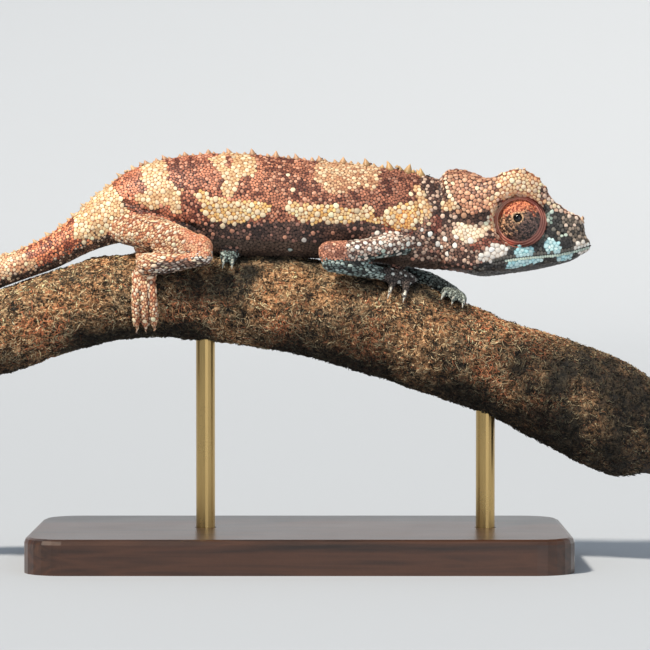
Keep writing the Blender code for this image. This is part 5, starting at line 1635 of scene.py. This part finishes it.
def build_branch(finishes):
    """The cut branch: a fine tube with rough bark, and growth rings at its cut ends."""
    bm = bmesh.new()
    bmesh.ops.create_cone(bm, cap_ends=True, segments=BARK_AROUND, radius1=1, radius2=1, depth=1)
    long_edges = [e for e in bm.edges if abs(e.verts[0].co.z - e.verts[1].co.z) > 0.5]
    bmesh.ops.subdivide_edges(bm, edges=long_edges, cuts=BARK_RINGS, use_grid_fill=True)
    heights = bm.verts.layers.float.new("bark_height")
    dry_and_shade = bm.verts.layers.float.new("bark_dry_and_shade")
    rings = bm.verts.layers.float.new("ring_place")
    for inner in [f for f in bm.faces if len(f.verts) > 4]:
        for share in (0.96, 0.8, 0.6, 0.4, 0.2, 0.06):
            bmesh.ops.inset_individual(bm, faces=[inner], thickness=0.01)
            for vert in inner.verts:
                height = vert.co.z
                vert.co = Vector((vert.co.x, vert.co.y, 0)).normalized() * share
                vert.co.z = height
    places, turns = [], []
    for vert in bm.verts:
        share = math.hypot(vert.co.x, vert.co.y)
        x = BRANCH_START + (BRANCH_END - BRANCH_START) * (vert.co.z + 0.5)
        turn = math.atan2(vert.co.y, vert.co.x)
        place, way = on_branch(x, turn, 0)
        raised = bark_detail(place)
        vert[heights] = min(max(0.5 + raised, 0), 1)
        vert[rings] = share
        place += way * raised
        middle = branch_frame(x)[0]
        ends = 0.3 * noise.noise(place * 0.8) * (1 - share) if share < 0.97 else 0
        vert.co = middle + (place - middle) * share + Vector((ends, 0, 0))
        places.append(tuple(vert.co))
        turns.append(turn)
    places = np.array(places)
    # paler in random clouds, darker under painted shadows and painted shade
    for vert, value in zip(bm.verts, dryness_and_shade(places[:, 0], np.array(turns), places).tolist()):
        vert[dry_and_shade] = value
    for face in bm.faces:
        face.material_index = int(all(v[rings] < 0.97 for v in face.verts))
    branch = finish_bmesh("branch", bm, finishes["bark"])
    branch.data.materials.append(finishes["end_grain"])
    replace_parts(branch, "perch_branch")


def build_bark_crumbs(look):
    """Loose grains, and thin splinters, that cling to the bark."""
    grain = np.array([(1, 0, 0), (0, 1, 0), (-1, 0, 0), (0, -1, 0), (0, 0, 1), (0, 0, -1)], float)
    grain_faces = [(0, 1, 4), (1, 2, 4), (2, 3, 4), (3, 0, 4), (1, 0, 5), (2, 1, 5), (3, 2, 5), (0, 3, 5)]
    splinter = np.array([(-1, 0, 0), (1, 0, 0), (0, 1, -0.4), (0, -0.3, 1)])
    splinter_faces = [(0, 2, 1), (0, 1, 3), (0, 3, 2), (1, 2, 3)]
    for name, count, shape, faces, low, high in (
        ("bark_crumbs", 9000, grain, grain_faces, (0.16, 0.12, 0.12), (0.36, 0.24, 0.22)),
        ("bark_splinters", 40000, splinter, splinter_faces, (0.35, 0.09, 0.1), (0.85, 0.17, 0.2)),
    ):
        xs = RNG.uniform(BRANCH_START + 1, BRANCH_END - 1, count)
        turns = RNG.uniform(-math.pi, math.pi, count)
        centre, out = bark_places(xs, turns, 0.03)
        points = lumps(centre, out, shape, RNG.uniform(low, high, (count, 3)))
        mesh = lump_mesh(name, points, np.array(faces), bits_colours(centre, xs, turns), xs, turns)
        object_from(name, mesh, look)


def bark_places(xs, turns, height):
    """Places on the finished bark and the ways out from it."""
    places, outs = [], []
    for x, turn in zip(xs, turns):
        place, way = on_branch(x, turn, height)
        raised = bark_detail(place - way * height)
        places.append(tuple(place + way * raised))
        outs.append(tuple(way))
    return np.array(places), np.array(outs)


def lumps(centre, out, shape, sizes):
    """Copies of a small shape, turned at random about the way out and jittered."""
    count = len(centre)
    first, second = tangents(out)
    turn = RNG.uniform(0, 2 * math.pi, count)[:, None]
    a = first * np.cos(turn) + second * np.sin(turn)
    b = np.cross(out, a)
    local = shape[None] * sizes[:, None] * (1 + 0.25 * RNG.standard_normal((count, len(shape), 3)))
    placed = centre[:, None] + local[:, :, :1] * a[:, None] + local[:, :, 1:2] * b[:, None]
    return placed + local[:, :, 2:] * out[:, None]


def lump_mesh(name, points, faces, colours, xs, turns):
    """One mesh of many small closed lumps, each with its patch on a map of the bark rolled out."""
    count, each = points.shape[:2]
    all_faces = (np.arange(count)[:, None, None] * each + faces[None]).reshape(-1, 3)
    along = (xs - BRANCH_START) / (BRANCH_END - BRANCH_START)
    spot = np.stack([0.02 + 0.96 * along, 0.5 + 0.96 * turns / (2 * math.pi)], axis=1)
    spots = spot[:, None] + round_offsets(each, each, 0.0012)
    return mesh_from_arrays(name, points.reshape(-1, 3), (all_faces,), np.repeat(colours, each, axis=0),
                            spots.reshape(-1, 2), smooth=False)  # fmt: skip


def bits_colours(centre, xs, turns):
    """Dark brown, grey-brown, tan and some rusty bits, paler in random clouds, and darker and cooler under the
    painted shadows and painted shade of the bark.
    """
    pick = RNG.random(len(xs)) + 0.35 * clouds(centre, 3.0, 2, 30.0)
    tuft = spots_at_bark(xs, turns, TUFTS)
    colour = np.zeros((len(xs), 3))
    for low, shade in ((-9, "201b15"), (0.26, "7c5f42"), (0.48, "d0a072"), (0.7, "ffdeb0")):
        colour[pick > low] = plain(shade)
    rusty = RNG.random(len(xs)) < 0.05 + 0.35 * tuft
    colour[rusty] = plain("de8a60")
    # painted shadows and shade darken the bits and take some of their red
    dry_and_shade = dryness_and_shade(xs, turns, centre)[:, None]
    colour = colour * (0.07 + 0.98 * dry_and_shade) * (1 + 0.25 * RNG.standard_normal((len(xs), 1)))
    return np.clip(colour * (1 - (1 - dry_and_shade) * (0.2, 0.05, 0.0)), 0, 1)


def build_bark_fibres(look):
    """Short fibres that lie over the bark, many in rusty tufts with their ends raised."""
    for name, count, steps, tufted in (("bark_fibres", 13000, 2, False), ("bark_tufts", 5200, 4, True)):
        if tufted:
            spot = np.array(TUFTS)[RNG.integers(0, len(TUFTS), count)]
            xs = spot[:, 0] + 0.6 * spot[:, 2] * RNG.standard_normal(count)
            turns = np.radians(spot[:, 1]) + 0.6 * spot[:, 2] / BARK_RADIUS * RNG.standard_normal(count)
            xs = np.clip(xs, BRANCH_START + 2, BRANCH_END - 2)
            turns = (turns + math.pi) % (2 * math.pi) - math.pi
            length, lift = RNG.gamma(3.0, 0.32, count) + 0.3, RNG.uniform(0.0, 0.7, count) ** 1.5
        else:
            xs = RNG.uniform(BRANCH_START + 2, BRANCH_END - 2, count)
            turns = RNG.uniform(-math.pi, math.pi, count)
            length, lift = RNG.gamma(3.0, 0.26, count) + 0.3, RNG.uniform(0.0, 0.35, count)
        heading, curl = RNG.uniform(-math.pi, math.pi, count), RNG.normal(0, 0.9, count)
        around = np.array([branch_frame(x)[2] for x in xs])
        lines, outs = [], []
        for k in range(steps + 1):
            t = k / steps
            angle, ahead = heading + curl * t, length * (t - 0.5)
            x = np.clip(xs + ahead * np.cos(angle), BRANCH_START, BRANCH_END)
            place, out = bark_places(x, turns + ahead * np.sin(angle) / around, 0.08)
            lines.append(place + out * (lift * t * t)[:, None])
            outs.append(out)
        line, out = np.stack(lines, axis=1), np.stack(outs, axis=1)
        along = unit(np.gradient(line, axis=1))
        across = unit(np.cross(along, out))
        high = np.cross(across, along)
        taper = np.interp(np.arange(steps + 1) / steps, (0, 0.5, 1), (0.6, 1.0, 0.3))
        width = RNG.uniform(0.06, 0.13, count)[:, None] * taper
        turned = [2 * math.pi * k / 3 for k in range(3)]
        points = [line + (across * math.cos(a) + high * math.sin(a)) * width[:, :, None] for a in turned]
        points = np.stack(points, axis=2).reshape(count, -1, 3)
        faces = [(2, 1, 0), (steps * 3, steps * 3 + 1, steps * 3 + 2)]
        for k in range(steps):
            for j in range(3):
                a, b = k * 3 + j, k * 3 + (j + 1) % 3
                faces += [(a, b, b + 3), (a, b + 3, a + 3)]
        mesh = lump_mesh(name, points, np.array(faces), bits_colours(line[:, 0], xs, turns), xs, turns)
        object_from(name, mesh, look)


def dress_stand(finishes):
    for name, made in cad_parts.items():
        if name == "stand_base":
            made.material_slots[0].material = finishes["wood"]
        elif name.startswith("stand_rod"):
            made.material_slots[0].material = finishes["brass"]


# Studio


def build_studio():
    """A pale floor that turns up into a pale wall all round, and soft lights."""
    bm = bmesh.new()
    turns = [math.pi / 2 * k / 12 for k in range(1, 13)]
    rise = [(FLOOR_RADIUS + WALL_BEND * math.sin(a), WALL_BEND * (1 - math.cos(a))) for a in turns]
    spin(bm, [(0, 0), (FLOOR_RADIUS, 0), *rise, (FLOOR_RADIUS + WALL_BEND, WALL_TOP)], 96)
    bmesh.ops.remove_doubles(bm, verts=bm.verts, dist=0.01)
    bmesh.ops.scale(bm, vec=(MM, MM, MM), verts=bm.verts)
    mesh = mesh_from_bmesh("studio_floor", bm)
    mesh.shade_smooth()
    floor = link("studio_floor", mesh)
    paint = bpy.data.materials.new("pale_paper")
    paint.use_nodes = True
    shader = paint.node_tree.nodes["Principled BSDF"]
    shader.inputs["Base Color"].default_value = (0.5, 0.54, 0.6, 1)
    shader.inputs["Roughness"].default_value = 0.9
    mesh.materials.append(paint)

    world = bpy.data.worlds.new("studio_air")
    world.use_nodes = True
    air = world.node_tree.nodes["Background"]
    air.inputs["Color"].default_value = (0.84, 0.93, 1.0, 1)
    air.inputs["Strength"].default_value = 0.42
    bpy.context.scene.world = world
    sun = bpy.data.lights.new("key_light", "SUN")
    sun.energy, sun.angle, sun.color = 4.0, math.radians(7), (1.0, 0.9, 0.76)
    add_light("key_light", sun, (-480, -430, 770))
    fill = bpy.data.lights.new("front_fill", "AREA")
    fill.shape, fill.size, fill.energy, fill.color = "DISK", 600 * MM, 1.2, (0.95, 0.97, 1.0)
    add_light("front_fill", fill, (320, -900, 180))


def add_light(name, lamp, place):
    """A light at that place from the middle of the view, which it faces."""
    made = link(name, lamp)
    made.location = (VIEW_MIDDLE + Vector(place)) * MM
    made.rotation_euler = (-Vector(place)).to_track_quat("-Z", "Y").to_euler()


def place_camera():
    data = bpy.data.cameras.new("camera")
    data.sensor_width = SENSOR
    data.lens = SENSOR * VIEW_DISTANCE / VIEW_WIDTH
    data.clip_start, data.clip_end = 0.01, 20
    camera = link("camera", data)
    back = Vector((0, -math.cos(VIEW_UP), math.sin(VIEW_UP)))
    camera.location = (VIEW_MIDDLE + back * VIEW_DISTANCE) * MM
    camera.rotation_euler = (-back).to_track_quat("-Z", "Y").to_euler()
    bpy.context.scene.camera = camera
    bpy.context.scene.view_settings.view_transform = "Standard"


def main():
    place_camera()
    build_studio()
    finishes = make_finishes()
    dress_stand(finishes)
    surface = build_skin(finishes["bare_skin"], part_finder())
    build_coat(surface, finishes["scales"])
    build_crest(surface, finishes["crest"])
    for side_name, side in (("right", RIGHT), ("left", LEFT)):
        turret = build_turret(side_name, side, finishes["lid"])
        build_lid_scales(side_name, side, turret, finishes["scales"])
        build_eyeball(side_name, side, finishes["iris"])
    build_claws(finishes["claw"])
    build_branch(finishes)
    build_bark_crumbs(finishes["bark_bits"])
    build_bark_fibres(finishes["bark_bits"])


main()
